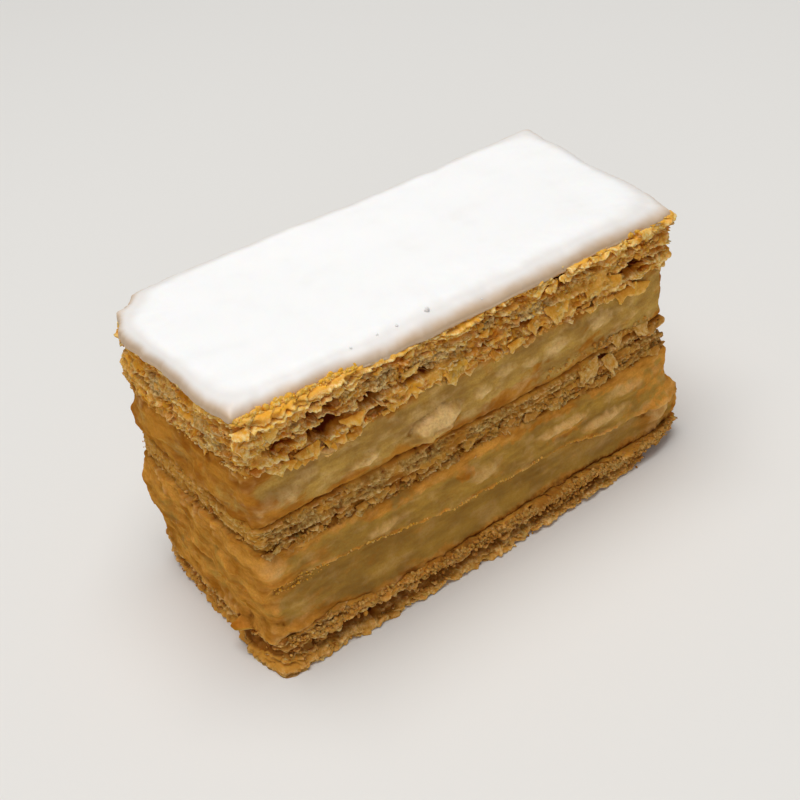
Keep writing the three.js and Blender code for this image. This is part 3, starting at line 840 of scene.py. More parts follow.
def makePastry(sheet):
    path = planPath(sheet["columns"], sheet["cornerRadius"])
    leaves = leafEdges(path, sheet)
    rings = [leafRing(path, sheet, leaf, sheet["seed"] + 70 + 3 * index)
             for index, leaf in enumerate(leaves)]
    parts = {"core": pastryCore(path, sheet, leaves), "leaves": joinParts(rings),
             "flakes": sheetFlakes(sheet), "crumbs": sheetCrumbs(sheet), "clumps": sheetClumps(sheet)}
    pieces = []
    for kind, (points, faces, values) in parts.items():
        if sheet["joint"] == 0:
            # what would lie under the floor is squeezed into the lowest tenth of a millimetre
            squeezed = 0.1 * np.exp(np.minimum(points[:, 2] - 0.1, 0) / 0.1)
            points[:, 2] = np.where(points[:, 2] < 0.1, squeezed, points[:, 2])
        pieces.append(makePiece(sheet["name"] + "_" + kind, points, faces, values))
    return pieces


# set custard

# The knife's ledge runs along the front at these x and z. Lumps and milky places are soft ovals on a side:
# middle along it, middle z, half width, half height, and how far they stand out or how strong. The milky
# places are pale smears, in part painted highlight on the lumps.

lowerCustard = {
    "name": "lower_custard", "joint": 1, "rows": 84, "columns": 1000, "seed": 401,
    "overhang": (-0.1, -0.1, 0.9, -1.0), "swell": 0, "blotches": 0.3,
    "ledgeX": (-56, -50, -30, -10, 10, 20, 29, 56), "ledgeZ": (22, 21.5, 20, 17, 16, 16.3, 13.5, 12),
    "ledgeElsewhere": 17.5, "aboveLedge": 1.3, "foot": 0.65, "hollowing": -0.85, "ledgeCrumbs": 520,
    "lumps": {"front": [(-3, 21.7, 4.5, 2.2, 0.6), (-27, 21.8, 3.6, 1.3, 0.4), (19, 21.0, 7, 1.3, 0.8),
                        (-47, 8.2, 4.5, 1.6, 0.9), (-49, 24, 4, 3, 0.7), (40, 21, 5, 2, 0.6),
                        (47, 10.5, 3.6, 3.2, 1.0), (30, 17.3, 6, 1.4, 0.6), (-6, 23.6, 1.8, 1.6, 0.5),
                        (-28, 6.6, 4, 1.0, 0.5), (-53, 27, 3, 3, 0.8), (-54, 14, 3, 3, 0.7)],
              "left": [(-12.5, 5.2, 3.0, 2.0, 3.0), (20, 20, 8, 6, 0.9), (4, 12, 6, 4, 0.9),
                       (-10, 20, 5, 3, 0.8), (-16, 10, 4, 3, -0.7), (8, 22, 4, 2, -0.6)],
              "right": [(-22, 9.0, 5, 3.0, 0.8), (12, 14, 7, 4, 0.8)],
              "back": [(-20, 20, 7, 3, 0.6), (24, 12, 8, 3, 0.6)]},
    "milkyAndHighlight": {"front": [(-1.5, 21.5, 4.0, 2.0, 0.7), (-27, 21.8, 3.6, 1.2, 0.7), (19, 21.6, 7, 1.1, 0.9),
                        (-49, 7.4, 5.0, 1.4, 0.8), (-28, 6.4, 4, 0.8, 0.6), (-51, 26, 3, 2.4, 0.5),
                        (47, 10, 3.6, 3.0, 0.8), (30, 17.6, 6, 1.2, 0.7), (45.5, 5.8, 3.0, 1.2, 0.8),
                        (36, 22, 5, 1.4, 0.5), (30, 11.5, 12, 2.6, 0.28)],
              "back": [(-14, 21, 5, 1.4, 0.5), (20, 10, 6, 1.4, 0.4)]},
    "buttery": {"front": [(-6, 23.4, 2.0, 1.8, 1.0), (47, 20, 13, 9, 0.75), (49, 10, 9, 6, 0.75),
                          (9, 24.8, 9, 1.2, 0.9), (28, 24.0, 8, 1.4, 0.7), (20, 19.4, 8, 0.8, 0.8),
                          (-22, 25.0, 8, 1.0, 0.6)],
                "right": [(0, 16, 30, 20, 0.4)]},
}
upperCustard = {
    "name": "upper_custard", "joint": 3, "rows": 58, "columns": 1000, "seed": 503,
    "overhang": (-0.7, -0.7, -0.2, -0.8), "swell": 0.6, "blotches": 0.45,
    "lumps": {"front": [(-10.6, 38.8, 5.6, 2.5, 1.9), (-11.5, 36.8, 5.4, 0.8, 0.8),
                        (-15.2, 37.2, 2.6, 1.8, 0.9), (-27.8, 38.8, 3.6, 1.2, 0.9),
                        (1, 40.0, 2.4, 1.8, 0.4), (25, 41.5, 3.4, 2.4, 0.5), (-34.4, 46.6, 2.8, 2.0, 1.5),
                        (38, 39, 4, 1.6, 0.5), (-46, 39.5, 5, 2.5, 0.5)],
              "left": [(-8, 40, 6, 3, 0.9), (12, 42, 6, 3, 0.8), (22, 38, 7, 4, 0.6), (2, 38, 4, 3, -0.6)],
              "right": [(0, 40, 8, 3, 0.7)],
              "back": [(4, 40, 9, 3, 0.6), (-53, 40, 6, 6, 0.4)]},
    "milkyAndHighlight": {"front": [(-10.2, 39.5, 5.4, 1.9, 1.35), (-27.8, 38.8, 3.2, 1.0, 1.0),
                        (-34.4, 46.6, 2.6, 1.6, 0.9), (1, 40.0, 2.2, 1.6, 0.7), (7, 41.6, 3.0, 1.2, 0.5),
                        (13.6, 40.2, 2.0, 1.0, 0.5), (20, 41.2, 3.2, 1.8, 0.8), (32, 41.3, 3.2, 1.6, 0.8),
                        (-46, 40.5, 4.5, 2.2, 0.35), (-40, 42.5, 3, 1.4, 0.4)],
              "back": [(-20, 40, 5, 2, 0.8), (6, 41, 4, 1.6, 0.7), (30, 39, 5, 1.6, 0.6)]},
    "buttery": {"front": [(-11, 36.6, 6.5, 1.0, 1.0), (-46, 38, 6, 2.4, 0.6), (9, 35.8, 9, 1.3, 0.9),
                          (15, 38.6, 5, 1.4, 0.8), (31, 37.2, 8, 1.6, 0.75), (-27, 36.6, 6, 1.0, 0.7),
                          (49, 41, 6, 5, 0.35)],
                "right": [(0, 41, 30, 12, 0.3)]},
}


# What both layers share. Patterns are (strength, size in mm, step of the seed).
custardForm = {
    "drag": ((0.2, (18, 18, 1.6), 0), (0.1, (8, 8, 0.7), 1)),            # the knife's way
    "ledgeRim": ((0.5, (7, 7, evenUp), 7), (0.3, (1.6, 1.6, evenUp), 8)),
    "lumpRim": ((0.9, 3, 5), (0.4, 1.2, 6)),
    "milkyRim": ((0.9, 2.2, 5), (0.6, 0.9, 6)),
    "butterRim": ((1.2, 2.2, 23), (0.7, 0.9, 31)),
    "sheetRim": ((0.6, (4, 4, evenUp), 16), (0.3, (1.3, 1.3, evenUp), 17)),
    "stainRim": ((1.1, (5, 5, evenUp), 29), (0.5, (1.7, 1.7, 9), 30)),
    "sides": {"lumpy": (0.25, 0.5, 0.9, 0.8), "curds": (0.1, 0.2, 0.5, 0.4),
              "nodules": (0.5, 0.6, 1.0, 0.8), "swelling": (1, 1, 0.3, 1),
              "ledge": (1, 0.8, 0.7, 0.4), "tuck": (1.3, 1.3, 0.4, 1.2), "stained": (0.0, 0.2, 0.8, 0.4),
              "clear": (0, 0.2, 0.85, 0.4), "creased": (0.9, 0.9, 0.45, 0.9)},
    "cornerRadius": 2.4, "intoSheets": 1.0,                              # mm
    "window": (8, 12),                   # rows and columns that a place stands out from
    "lipDrops": (1.2, 2.4),              # mm: specks dragged below the ledge's lip at the left
    "ledgeFade": 0.55,                   # how much shallower the ledge is at the left end of the front
}


def onFront(path):
    return ramp(0.3, 0.8, -path["ny"])


def ledgeLine(layer, wall, front):
    # Height of the second cut's ledge: laid out along the front, level elsewhere, and uneven.
    laidOut = np.interp(wall[..., 0], layer["ledgeX"], layer["ledgeZ"])
    line = mix(layer["ledgeElsewhere"], laidOut, front)
    return line + waves(wall, layer["seed"], custardForm["ledgeRim"])


def ledgeStep(layer, toLine):
    # The side stands out above the ledge and lies back below it.
    return layer["aboveLedge"] * ramp(-0.9, 0.25, toLine) + layer["hollowing"]


def cutLedge(path, layer, wall, t, aboveSheet):
    # How far out the ledge, its lip and the foot are, and where the lip, the painted shade under it and the
    # painted shade along the foot are. A lip is a bell curve about the ledge's line.
    x, seed = wall[..., 0], layer["seed"]
    front = onFront(path)
    toLine = wall[..., 2] - ledgeLine(layer, wall, front)
    shallow = sideValue(path, custardForm["sides"]["ledge"])
    shallow = shallow * (1 - custardForm["ledgeFade"] * ramp(-36, -48, x) * front)
    lip = np.exp(-((toLine - 0.2) / 0.5) ** 2) * ramp(-0.4, 0.3, noise(wall, (4, 4, 30), seed + 9))
    out = shallow * ledgeStep(layer, toLine) + layer["foot"] * (1 - ramp(0, 0.2, t)) ** 2
    out = out + 0.5 * lip * (0.6 + noise(wall, 0.9, seed + 10))
    for drop in custardForm["lipDrops"]:
        second = np.exp(-((toLine + drop) / 0.35) ** 2)
        second = second * ramp(-0.3, 0.3, noise(wall, (4, 4, 30), seed + 26))
        lip = lip + 0.7 * second * ramp(-30, -42, x) * front
    under = ramp(0.2, -1.2, toLine) * ramp(-9, -3, toLine)
    # painted shade along the foot, just above the bottom sheet, on the front from about its middle
    # rightwards
    footShade = 0.8 * ramp(3.0, 0.6, aboveSheet) * ramp(-25, 5, x) * front
    return out, lip, under, footShade


def custardWall(path, layer):
    # Overhang + drag of the knife + lumps, curds, nodules and specks + swell between the sheets, or
    # the ledge of a second cut - a tuck beside either sheet of pastry.
    below, above = jointsAt(path, layer["joint"])
    seed = layer["seed"]
    atCorner = 2 * abs(path["nx"] * path["ny"])
    onSide = {key: sideValue(path, four) for key, four in custardForm["sides"].items()}

    def around(wall, places, rim):
        return onSides(path, wall, layer[places], waves(wall, seed, custardForm[rim]))

    def outward(t, wall):
        aboveSheet = wall[..., 2] - below
        toSheet = np.minimum(aboveSheet, above - wall[..., 2])
        ragged = toSheet + waves(wall, seed, custardForm["sheetRim"])
        broken = 0.4 + 0.6 * ramp(-0.4, 0.3, noise(wall, (6, 6, evenUp), seed + 25))

        # relief
        side = sideValue(path, layer["overhang"]) + waves(wall, seed, custardForm["drag"])
        side = side + (onSide["lumpy"] + atCorner) * 0.6 * fractal(wall, (9, 9, 6), seed + 2, 2, 0.45)
        side = side + 0.13 * fractal(wall, 2.6, seed + 13, 3, 0.55) + around(wall, "lumps", "lumpRim")
        first, _ = cells(wall, 1.3, seed + 14)
        specks = ramp(0.28, 0.1, first) * ramp(-0.1, 0.5, noise(wall, (12, 12, 3), seed + 15))
        side = side + 0.12 * specks
        lip = under = footShade = 0
        if "ledgeX" in layer:
            ledge, lip, under, footShade = cutLedge(path, layer, wall, t, aboveSheet)
            side = side + ledge
        side = side + layer["swell"] * onSide["swelling"] * (np.sin(np.pi * t) - 0.4)
        first, _ = cells(wall + 0.5 * noise(wall, 1.5, seed + 18)[..., None], 2.0, seed + 19)
        nodules = ramp(0.6, 0.15, first) * ramp(3.4, 0.8, ragged)
        nodules = nodules * ramp(-0.2, 0.4, noise(wall, 7, seed + 20)) * onSide["nodules"]
        side = side + onSide["curds"] * roundLumps(wall, 3.4, seed + 24)
        side = side + 0.45 * nodules - onSide["tuck"] * broken * ramp(1.1, -0.9, ragged)
        # milky places: pale smears of the custard, partly painted highlight on its lumps
        milkyAndHighlight = around(wall, "milkyAndHighlight", "milkyRim")
        side = side + 0.45 * np.clip(milkyAndHighlight, 0, 1) * roundLumps(wall, 1.9, seed + 27)

        # butter stains beside the sheets, on the lip and in places
        besideSheet = toSheet + waves(wall, seed, custardForm["stainRim"])
        mottled = fractal(wall, (7, 7, 4), seed + 11, 4, 0.6)
        stain = 0.95 * ramp(2.8, 0.4, besideSheet) + lip + 0.5 * mottled + 0.4 * specks
        buttery = around(wall, "buttery", "butterRim") * (0.75 + 0.7 * fractal(wall, 1.6, seed + 32, 2))
        leftEnd = ramp(-30, -54, wall[..., 0]) * onFront(path)
        stain = stain + buttery + onSide["stained"] + 0.5 * leftEnd + 0.3 * atCorner

        # milky smears, partly painted highlight, and painted shade in creases
        milkyAndHighlight = milkyAndHighlight * (0.8 + 0.5 * fractal(wall, 2.4, seed + 28, 2))
        blotches = ramp(-0.1, 1.0, fractal(wall, (4.4, 4.4, 2.8), seed + 12, 3, 0.6))
        blotches = blotches * ramp(0.8, 2.6, toSheet)
        milkyAndHighlight = np.clip(milkyAndHighlight + layer["blotches"] * blotches, 0, 1) * (1 - onSide["clear"]) + 0.4 * nodules
        # painted shade: sunk where the side lies back, and crease in the ragged seams beside the sheets, in
        # what is sunk and along the foot
        sunk = ramp(-0.5, -3.0, standOut(side, *custardForm["window"]))
        creaseShade = ramp(0.9, -0.2, ragged) * onSide["creased"] * broken + 0.7 * sunk + footShade
        # hollow is painted shade under the ledge and where the side lies back; smear is the milky smears,
        # partly painted highlight
        values = {"stain": stain, "smearAndHighlight": milkyAndHighlight, "creaseShade": creaseShade,
                  "hollow": 0.5 * under - 0.4 * side - 0.1}
        return side, {key: np.clip(value, 0, 1) for key, value in values.items()}

    into = custardForm["intoSheets"]
    return layerShell(path, below - into, above + into, layer["rows"], outward)


def ledgeCrumbs(layer):
    # Crumbs of pastry that the knife left along the ledge of the front face, thickest on the left.
    count = layer["ledgeCrumbs"]
    rng = np.random.default_rng(layer["seed"] + 40)
    x = -52 + 80 * rng.uniform(0, 1, count) ** 1.4
    z = np.interp(x, layer["ledgeX"], layer["ledgeZ"])
    spot = frontSpots(x, z)
    line = ledgeLine(layer, wallPoint(spot, z), 1)
    left = ramp(-32, -46, x)
    z = line + 0.15 + 0.16 * rng.normal(0, 1, count)
    z = z - custardForm["lipDrops"][0] * rng.integers(0, 3, count) * left
    shallow = 1 - custardForm["ledgeFade"] * left
    out = layer["overhang"][0] + shallow * ledgeStep(layer, z - line) + rng.uniform(-0.05, 0.25, count)
    # a little painted shade on every crumb, and a painted highlight of random strength
    values = {"paintedShade": 0.1, "tone": rng.uniform(0.4, 0.9, count), "pale": 0,
              "edge": rng.uniform(0, 0.6, count)}
    radius = 0.1 + 0.22 * rng.uniform(0, 1, count) ** 2
    return crumbLumps(spot, z, out, radius, values, layer["seed"] + 41)


# fondant icing

icingLid = {
    "name": "icing", "columns": 900, "cornerRadius": 1.0, "sideRows": 6, "rollRows": 26, "topRows": 22,
    "seed": 601,
    "overhang": (0.1, 0.2, 0.4, 0.1),
    "cornerOut": 0.2,       # how far it stands out at the back left corner
    # the rim slopes down to a thin edge: its width and how far it falls
    "rollWidth": (6.0, 3.0, 3.4, 3.6), "rollHeight": (2.7, 1.5, 2.3, 2.1), "rollShape": 1.8,
    "backBow": 0.8, "backLift": 0.7,
    # patterns: strength, size in mm and step of the seed
    "edgeWave": ((0.4, 7, 0),), "ragged": ((0.12, 1.8, 1),), "chips": ((0.2, 0.9, 7),),
    "skirtWave": ((0.4, 8, 3), (0.3, 2.2, 4)), "rimWave": ((0.25, 6, 8), (0.06, 2, 10)),
    "topWave": ((0.25, 24, 5), (0.12, 9, 6)), "sideWave": ((0.15, (7, 7, 2), 13),),
    "chipSpacing": 2.6, "chipDepth": 0.35,
    # where its front edge lies behind the pastry's: x, 0, half length, 1 and by how much
    "setBack": [(-40, 0, 15, 1, 1.4), (38, 0, 9, 1, 0.6)],
    # grains of sugar stuck to the rim at the front: x, how far in from the edge, and radius
    "grains": [(-7.5, 3.6, 0.7), (-18.9, 3.6, 0.4), (-14.5, 3.6, 0.28), (-24.8, 3.5, 0.3),
               (3.3, 1.0, 0.25)],
}


def icingSetBack(spot):
    # How far the lid's front edge lies behind the pastry's.
    halfX = bar["topLength"] / 2
    return spots(spot["u"] * halfX, 0 * spot["u"], icingLid["setBack"]) * ramp(0, -1, spot["v"])


def icingShell(path, lid):
    # Profile: underside, a low side that meets the pastry in an uneven line, a rim that slopes as a
    # superellipse of the distance to the edge, then the top, which undulates softly.
    # Distance to the edge = a + b - sqrt(a^2 + b^2), where a and b are those to the nearest long side
    # and end, in widths of the rim.
    u, v = path["u"], path["v"]
    halfX, halfY = bar["topLength"] / 2, bar["topWidth"] / 2
    seed = lid["seed"]
    low = jointHeight(5, u, v)
    outline = at3(u * halfX, v * halfY, 0)
    frontWidth, backWidth, leftWidth, rightWidth = lid["rollWidth"]
    rollX, rollY = np.where(u < 0, leftWidth, rightWidth), np.where(v < 0, frontWidth, backWidth)
    rollHeight = sideValue(path, lid["rollHeight"]) * (1 + 0.12 * noise(outline, 9, seed + 9))
    rollHeight = rollHeight * (1 - 0.45 * ramp(0.8, 1, -u) * ramp(0.4, 0.9, v))
    uneven = sideValue(path, lid["overhang"]) + waves(outline, seed, lid["edgeWave"])
    uneven = uneven + lid["cornerOut"] * ramp(0.75, 1, -u) * ramp(0.4, 1, v)
    chips = lid["chipDepth"] * tornLine(path, lid["chipSpacing"], seed + 2)
    chips = chips + waves(outline, seed, lid["chips"])
    ragged = waves(outline, seed, lid["ragged"]) + chips * ramp(0.4, 0.9, -u) * ramp(-0.2, 0.6, v)
    setBack = icingSetBack(path)
    skirt = low - 0.5 + waves(outline, seed, lid["skirtWave"])

    def place(z, scaleX, scaleY, out):
        # what makes the outline uneven fades away from the rim, so that it leaves no crease on the top
        fade = ramp(0.7, 1, scaleY)
        points = wallPoint(path, z)
        fine = ragged + 0.12 * fractal(points, 1.6, seed + 12, 2) + waves(points, seed, lid["sideWave"])
        points = pushOut(points, path, out * fade + fine * ramp(0.94, 1, scaleY))
        points[..., 1] += lid["backBow"] * (1 - u * u) * ramp(0, 1, v) + setBack * fade
        return points * np.array([scaleX, scaleY, 1])

    def topHeight(scaleX, scaleY):
        across, along = u * scaleX, v * scaleY
        a, b = (1 - abs(along)) * halfY / rollY, (1 - abs(across)) * halfX / rollX
        inside = a + b - np.hypot(a, b)
        share = np.clip(1 - inside, 0, 1)
        drop = rollHeight * (1 - (1 - share ** lid["rollShape"]) ** (1 / lid["rollShape"]))
        spot = at3(across * halfX, along * halfY, 0)
        rimWave = waves(spot, seed, lid["rimWave"]) * np.clip(1 - inside / 3, 0, 1)
        lift = lid["backLift"] * ramp(0.2, 1, along) * ramp(-0.9, 0.2, across)
        soft = waves(spot, seed, lid["topWave"]) * (1 - share)
        return jointHeight(6, across, along) + soft + rimWave + lift - drop, share

    edgeHeight, _ = topHeight(1, 1)
    edgeHeight = np.maximum(edgeHeight, low + 0.3)
    # rim: 1 below and on the low side, falling over the rim's slope to 0 on the top; it greys the rim,
    # which is painted shade, then makes its lower edge beige
    rings, rims = [], []
    for scale in (0.3, 0.7, 0.95):
        rings.append(place(mix(np.mean(low), low, scale), scale, scale, uneven))
        rims.append(1 + 0 * u)
    for row in range(lid["sideRows"]):
        share = row / lid["sideRows"]
        belly = 0.3 * math.sin(math.pi * share) - 0.5 * (1 - share) ** 2
        rings.append(place(mix(skirt, edgeHeight, share), 1, 1, uneven + belly))
        rims.append(1 - 0.2 * share + 0 * u)
    rollWidth = max(lid["rollWidth"])
    for row in range(lid["rollRows"] + lid["topRows"]):
        if row < lid["rollRows"]:
            inset = rollWidth * (1 - math.cos(row / lid["rollRows"] * math.pi / 2))
            scaleX, scaleY = 1 - inset / halfX, 1 - inset / halfY
        else:
            share = 1 - (row - lid["rollRows"]) / lid["topRows"]
            scaleX, scaleY = (1 - rollWidth / halfX) * share, (1 - rollWidth / halfY) * share
        height, share = topHeight(scaleX, scaleY)
        ring = place(edgeHeight, scaleX, scaleY, uneven)
        ring[..., 2] = np.maximum(height, edgeHeight) if row == 0 else height
        rings.append(ring)
        rims.append(0.8 * share ** 1.6)
    rings = np.array(rings)
    ends = np.array([[0, 0, np.mean(low)], [0, 0, np.mean(rings[-1, :, 2])]])
    points = np.concatenate([rings.reshape(-1, 3), ends])
    return points, shellFaces(len(rings), len(u)), {"rim": np.append(np.array(rims).ravel(), [1, 0])}


def icingGrains(lid, lidPoints):
    # Grains of sugar in the skin of the rim, each at the height of the lid's nearest upper point.
    x, inward, radius = np.array(lid["grains"]).T
    spot = frontSpots(x, 60)
    place = pushOut(wallPoint(spot, 60 + 0 * x), spot, -inward)
    gap = np.hypot(lidPoints[:, 0] - place[:, :1], lidPoints[:, 1] - place[:, 1:2])
    gap = gap + 10 * (lidPoints[:, 2] < 57)
    z = lidPoints[np.argmin(gap, axis=1), 2]
    return crumbLumps(spot, z, -inward, radius, {"rim": 0.35}, lid["seed"] + 20)


# materials

def linear(hexColour):
    # sRGB hex to the linear colour that shaders take.
    channels = [int(hexColour[i:i + 2], 16) / 255 for i in (1, 3, 5)]
    return [c / 12.92 if c <= 0.04045 else ((c + 0.055) / 1.055) ** 2.4 for c in channels] + [1]


def addNode(tree, kind, inputs=None, output=None, **settings):
    # Adds one shader node. An input is a value, or the socket that feeds it; returns the named output,
    # or the first one in use.
    node = tree.nodes.new("ShaderNode" + kind)
    for key, value in settings.items():
        setattr(node, key, value)
    for key, value in (inputs or {}).items():
        named = (socket for socket in node.inputs if socket.name == key and socket.enabled)
        socket = node.inputs[key] if isinstance(key, int) else next(named)
        if isinstance(value, bpy.types.NodeSocket):
            tree.links.new(value, socket)
        else:
            socket.default_value = value
    return node.outputs[output] if output else next(s for s in node.outputs if s.enabled)


def newMaterial(name, constants):
    # A material whose shader's own sockets hold what is the same all over.
    material = bpy.data.materials.new(name)
    material.use_nodes = True
    shader = material.node_tree.nodes["Principled BSDF"]
    for key, value in constants.items():
        shader.inputs[key].default_value = value
    return material, material.node_tree, shader


def connect(tree, shader, sources):
    for key, source in sources.items():
        tree.links.new(source, shader.inputs[key])


def perMm(size):
    return 1 / (size * metresPerMm)


# In each look below, a noise has its grain in mm, its detail and its roughness, a step has where it
# starts, where it ends and how far it goes, and a bump has its strength and its height in mm.

puffLook = {
    "noises": ((0.8, 4, 0.65), (4.5, 3, 0.5), (0.4, 3, 0.6)),                     # fine, broad, flaked
    "broadShare": 0.55, "fineShare": -0.4,
    # warm, grain, patches, and the painted shade: shaded in amber and deep in dark brown
    "steps": ((0.4, 1.05, 1), (0.35, 0.68, 1), (0.35, 0.6, 1), (-0.2, 0.25, 0.7), (0.15, 0.7, 1)),
    "roughness": (0.5, 0.85), "bump": (0.35, 0.1),
    "constants": {"Specular IOR Level": 0.12, "Subsurface Weight": 0.4,
                  "Subsurface Radius": (1.0, 0.6, 0.3), "Subsurface Scale": 1.0 * metresPerMm},
}


def bakedPuffPastry(name, tint):
    # Puff pastry baked in a deck oven: dry, matt leaves. The eye gets golden torn edges over pale crumb.
    # Where the side stands out it is painted lighter, a painted highlight, and its hollows and recesses get
    # amber and dark brown painted shade.
    look = puffLook
    material, tree, shader = newMaterial(name, look["constants"])
    colour = {key: linear(value) for key, value in tint.items()}
    place = addNode(tree, "TexCoord", output="Object")
    paintedShade, tone, pale, edge = [addNode(tree, "Attribute", output="Fac", attribute_name=key)
                               for key in ("paintedShade", "tone", "pale", "edge")]
    fine, broad, flaked = [
        addNode(tree, "TexNoise", {"Vector": place, "Scale": perMm(size), "Detail": detail,
                                   "Roughness": rough})
        for size, detail, rough in look["noises"]]
    warmth, sunk = [
        addNode(tree, "Math", {0: first, 1: share, 2: second}, operation="MULTIPLY_ADD")
        for first, share, second in ((tone, look["broadShare"], broad), (fine, look["fineShare"], paintedShade))]
    warm, grain, patches, shaded, deep = [
        addNode(tree, "MapRange", {"Value": value, "From Min": start, "From Max": end, "To Max": top},
                interpolation_type="SMOOTHSTEP")
        for value, (start, end, top) in zip((warmth, fine, broad, sunk, sunk), look["steps"])]
    paleness, tipHighlight = [addNode(tree, "Math", {0: a, 1: b}, operation="MULTIPLY", use_clamp=True)
                      for a, b in ((pale, patches), (edge, grain))]
    crust, crumb = [
        addNode(tree, "Mix", {"Factor": share, "A": colour[dark], "B": colour[light]}, data_type="RGBA")
        for share, dark, light in ((warm, "brown", "golden"), (grain, "crumbDark", "crumb"))]
    # from the body outwards: pale crumb, light tips (painted highlight), amber painted shade and dark brown
    # painted shade in the hollows
    for share, over in ((paleness, crumb), (tipHighlight, colour["tip"]), (shaded, colour["amberShade"]),
                        (deep, colour["deep"])):
        crust = addNode(tree, "Mix", {"Factor": share, "A": crust, "B": over}, data_type="RGBA")
    smooth, matt = look["roughness"]
    rough = addNode(tree, "MapRange", {"Value": fine, "To Min": smooth, "To Max": matt})
    strength, high = look["bump"]
    bump = addNode(tree, "Bump", {"Height": flaked, "Strength": strength, "Distance": high * metresPerMm})
    connect(tree, shader, {"Base Color": crust, "Roughness": rough, "Normal": bump})
    return material


custardLook = {
    "flattening": (1, 1, 2.2),                                              # by the knife
    "noises": ((7, 4, 0.6), (1.1, 3, 0.6), (0.45, 2, 0.6), (1.2, 4, 0.6)),  # cloud, fine, grain, lumps
    "fineShare": 0.5, "milkyShare": 0.85, "hollowShare": 0.5, "milkyWet": 0.25,
    # mottled shade of colour, stains, painted shade in creases and wet glints
    "steps": ((0.3, 0.7, 1), (0.45, 1.15, 1), (0.15, 0.6, 1), (0.58, 0.72, 0.35)),
    "grain": (0.4, 0.7, 0.3), "roughness": (0.45, 0.65), "bump": (0.6, 0.2),
    "constants": {"Specular IOR Level": 0, "Subsurface Weight": 0.45, "Subsurface Radius": (1.0, 0.6, 0.25),
                  "Subsurface Scale": 2.5 * metresPerMm, "Coat Roughness": 0.15, "Coat IOR": 1.33},
}


def setCustard(name, tint):
    # Cooked egg custard, set and cut with a wet knife: dense, slightly see-through and moist. The eye gets
    # soft light inside it, small wet glints and butter stains beside the pastry. Its hollows, creases and
    # foot get painted shade, and its pale smears are partly painted highlight.
    look = custardLook
    material, tree, shader = newMaterial(name, look["constants"])
    colour = {key: linear(value) for key, value in tint.items()}
    place = addNode(tree, "TexCoord", output="Object")
    dragged = addNode(tree, "Mapping", {"Vector": place, "Scale": look["flattening"]})
    stain, smearAndHighlight, hollow, creaseShade = [addNode(tree, "Attribute", output="Fac", attribute_name=key)
                                    for key in ("stain", "smearAndHighlight", "hollow", "creaseShade")]
    cloud, fine, grain, lumps = [
        addNode(tree, "TexNoise", {"Vector": vector, "Scale": perMm(size), "Detail": detail,
                                   "Roughness": rough})
        for vector, (size, detail, rough) in zip((dragged, place, place, place), look["noises"])]
    stainedMore = addNode(tree, "Math", {0: fine, 1: look["fineShare"], 2: stain}, operation="MULTIPLY_ADD")
    creasedMore = addNode(tree, "Math", {0: creaseShade, 1: fine}, operation="MULTIPLY")
    shade, stained, creased, glints = [
        addNode(tree, "MapRange", {"Value": value, "From Min": start, "From Max": end, "To Max": top},
                interpolation_type="SMOOTHSTEP")
        for value, (start, end, top) in zip((cloud, stainedMore, creasedMore, fine), look["steps"])]
    # sunk is the painted shade of the hollows; milky is the pale smears, partly painted highlight
    milkyAndHighlight, sunk = [addNode(tree, "Math", {0: value, 1: share}, operation="MULTIPLY", use_clamp=True)
                   for value, share in ((smearAndHighlight, look["milkyShare"]), (hollow, look["hollowShare"]))]
    start, end, top = look["grain"]
    grainy = addNode(tree, "MapRange", {"Value": grain, "From Min": start, "From Max": end, "To Max": top})
    body, butter = [
        addNode(tree, "Mix", {"Factor": shade, "A": colour[dark], "B": colour[light]}, data_type="RGBA")
        for dark, light in (("dullAndShade", "body"), ("butter", "stain"))]
    # from the body outwards: butter stains, milky smears that are partly painted highlight, painted shade
    # in the hollows, brown painted shade in the creases, and a fine grain
    for share, over in ((stained, butter), (milkyAndHighlight, colour["smearAndHighlight"]), (sunk, colour["dullAndShade"]),
                        (creased, colour["creaseShade"]), (grainy, colour["butter"])):
        body = addNode(tree, "Mix", {"Factor": share, "A": body, "B": over}, data_type="RGBA")
    smooth, matt = look["roughness"]
    rough = addNode(tree, "MapRange", {"Value": cloud, "To Min": smooth, "To Max": matt})
    wet = addNode(tree, "Math", {0: milkyAndHighlight, 1: look["milkyWet"], 2: glints}, operation="MULTIPLY_ADD",
                  use_clamp=True)
    strength, high = look["bump"]
    bump = addNode(tree, "Bump", {"Height": lumps, "Strength": strength, "Distance": high * metresPerMm})
    connect(tree, shader, {"Base Color": body, "Roughness": rough, "Coat Weight": wet, "Normal": bump})
    return material


fondantLook = {
    "noises": ((7, 3, 0.5), (2.5, 3, 0.5)),                                       # cloud, skin
    # greyed: painted shade where the rim slopes down, and faint mottles on the top; thin: beige where the
    # lid is thin
    "cloudShare": 0.3, "steps": ((0.12, 0.45, 1), (0.5, 1.0, 1)),                 # greyed, thin
    "bump": (0.2, 0.1),
    "constants": {"Roughness": 0.42, "Subsurface Weight": 0.3, "Subsurface Radius": (1.0, 0.8, 0.6),
                  "Subsurface Scale": 1.5 * metresPerMm},
}


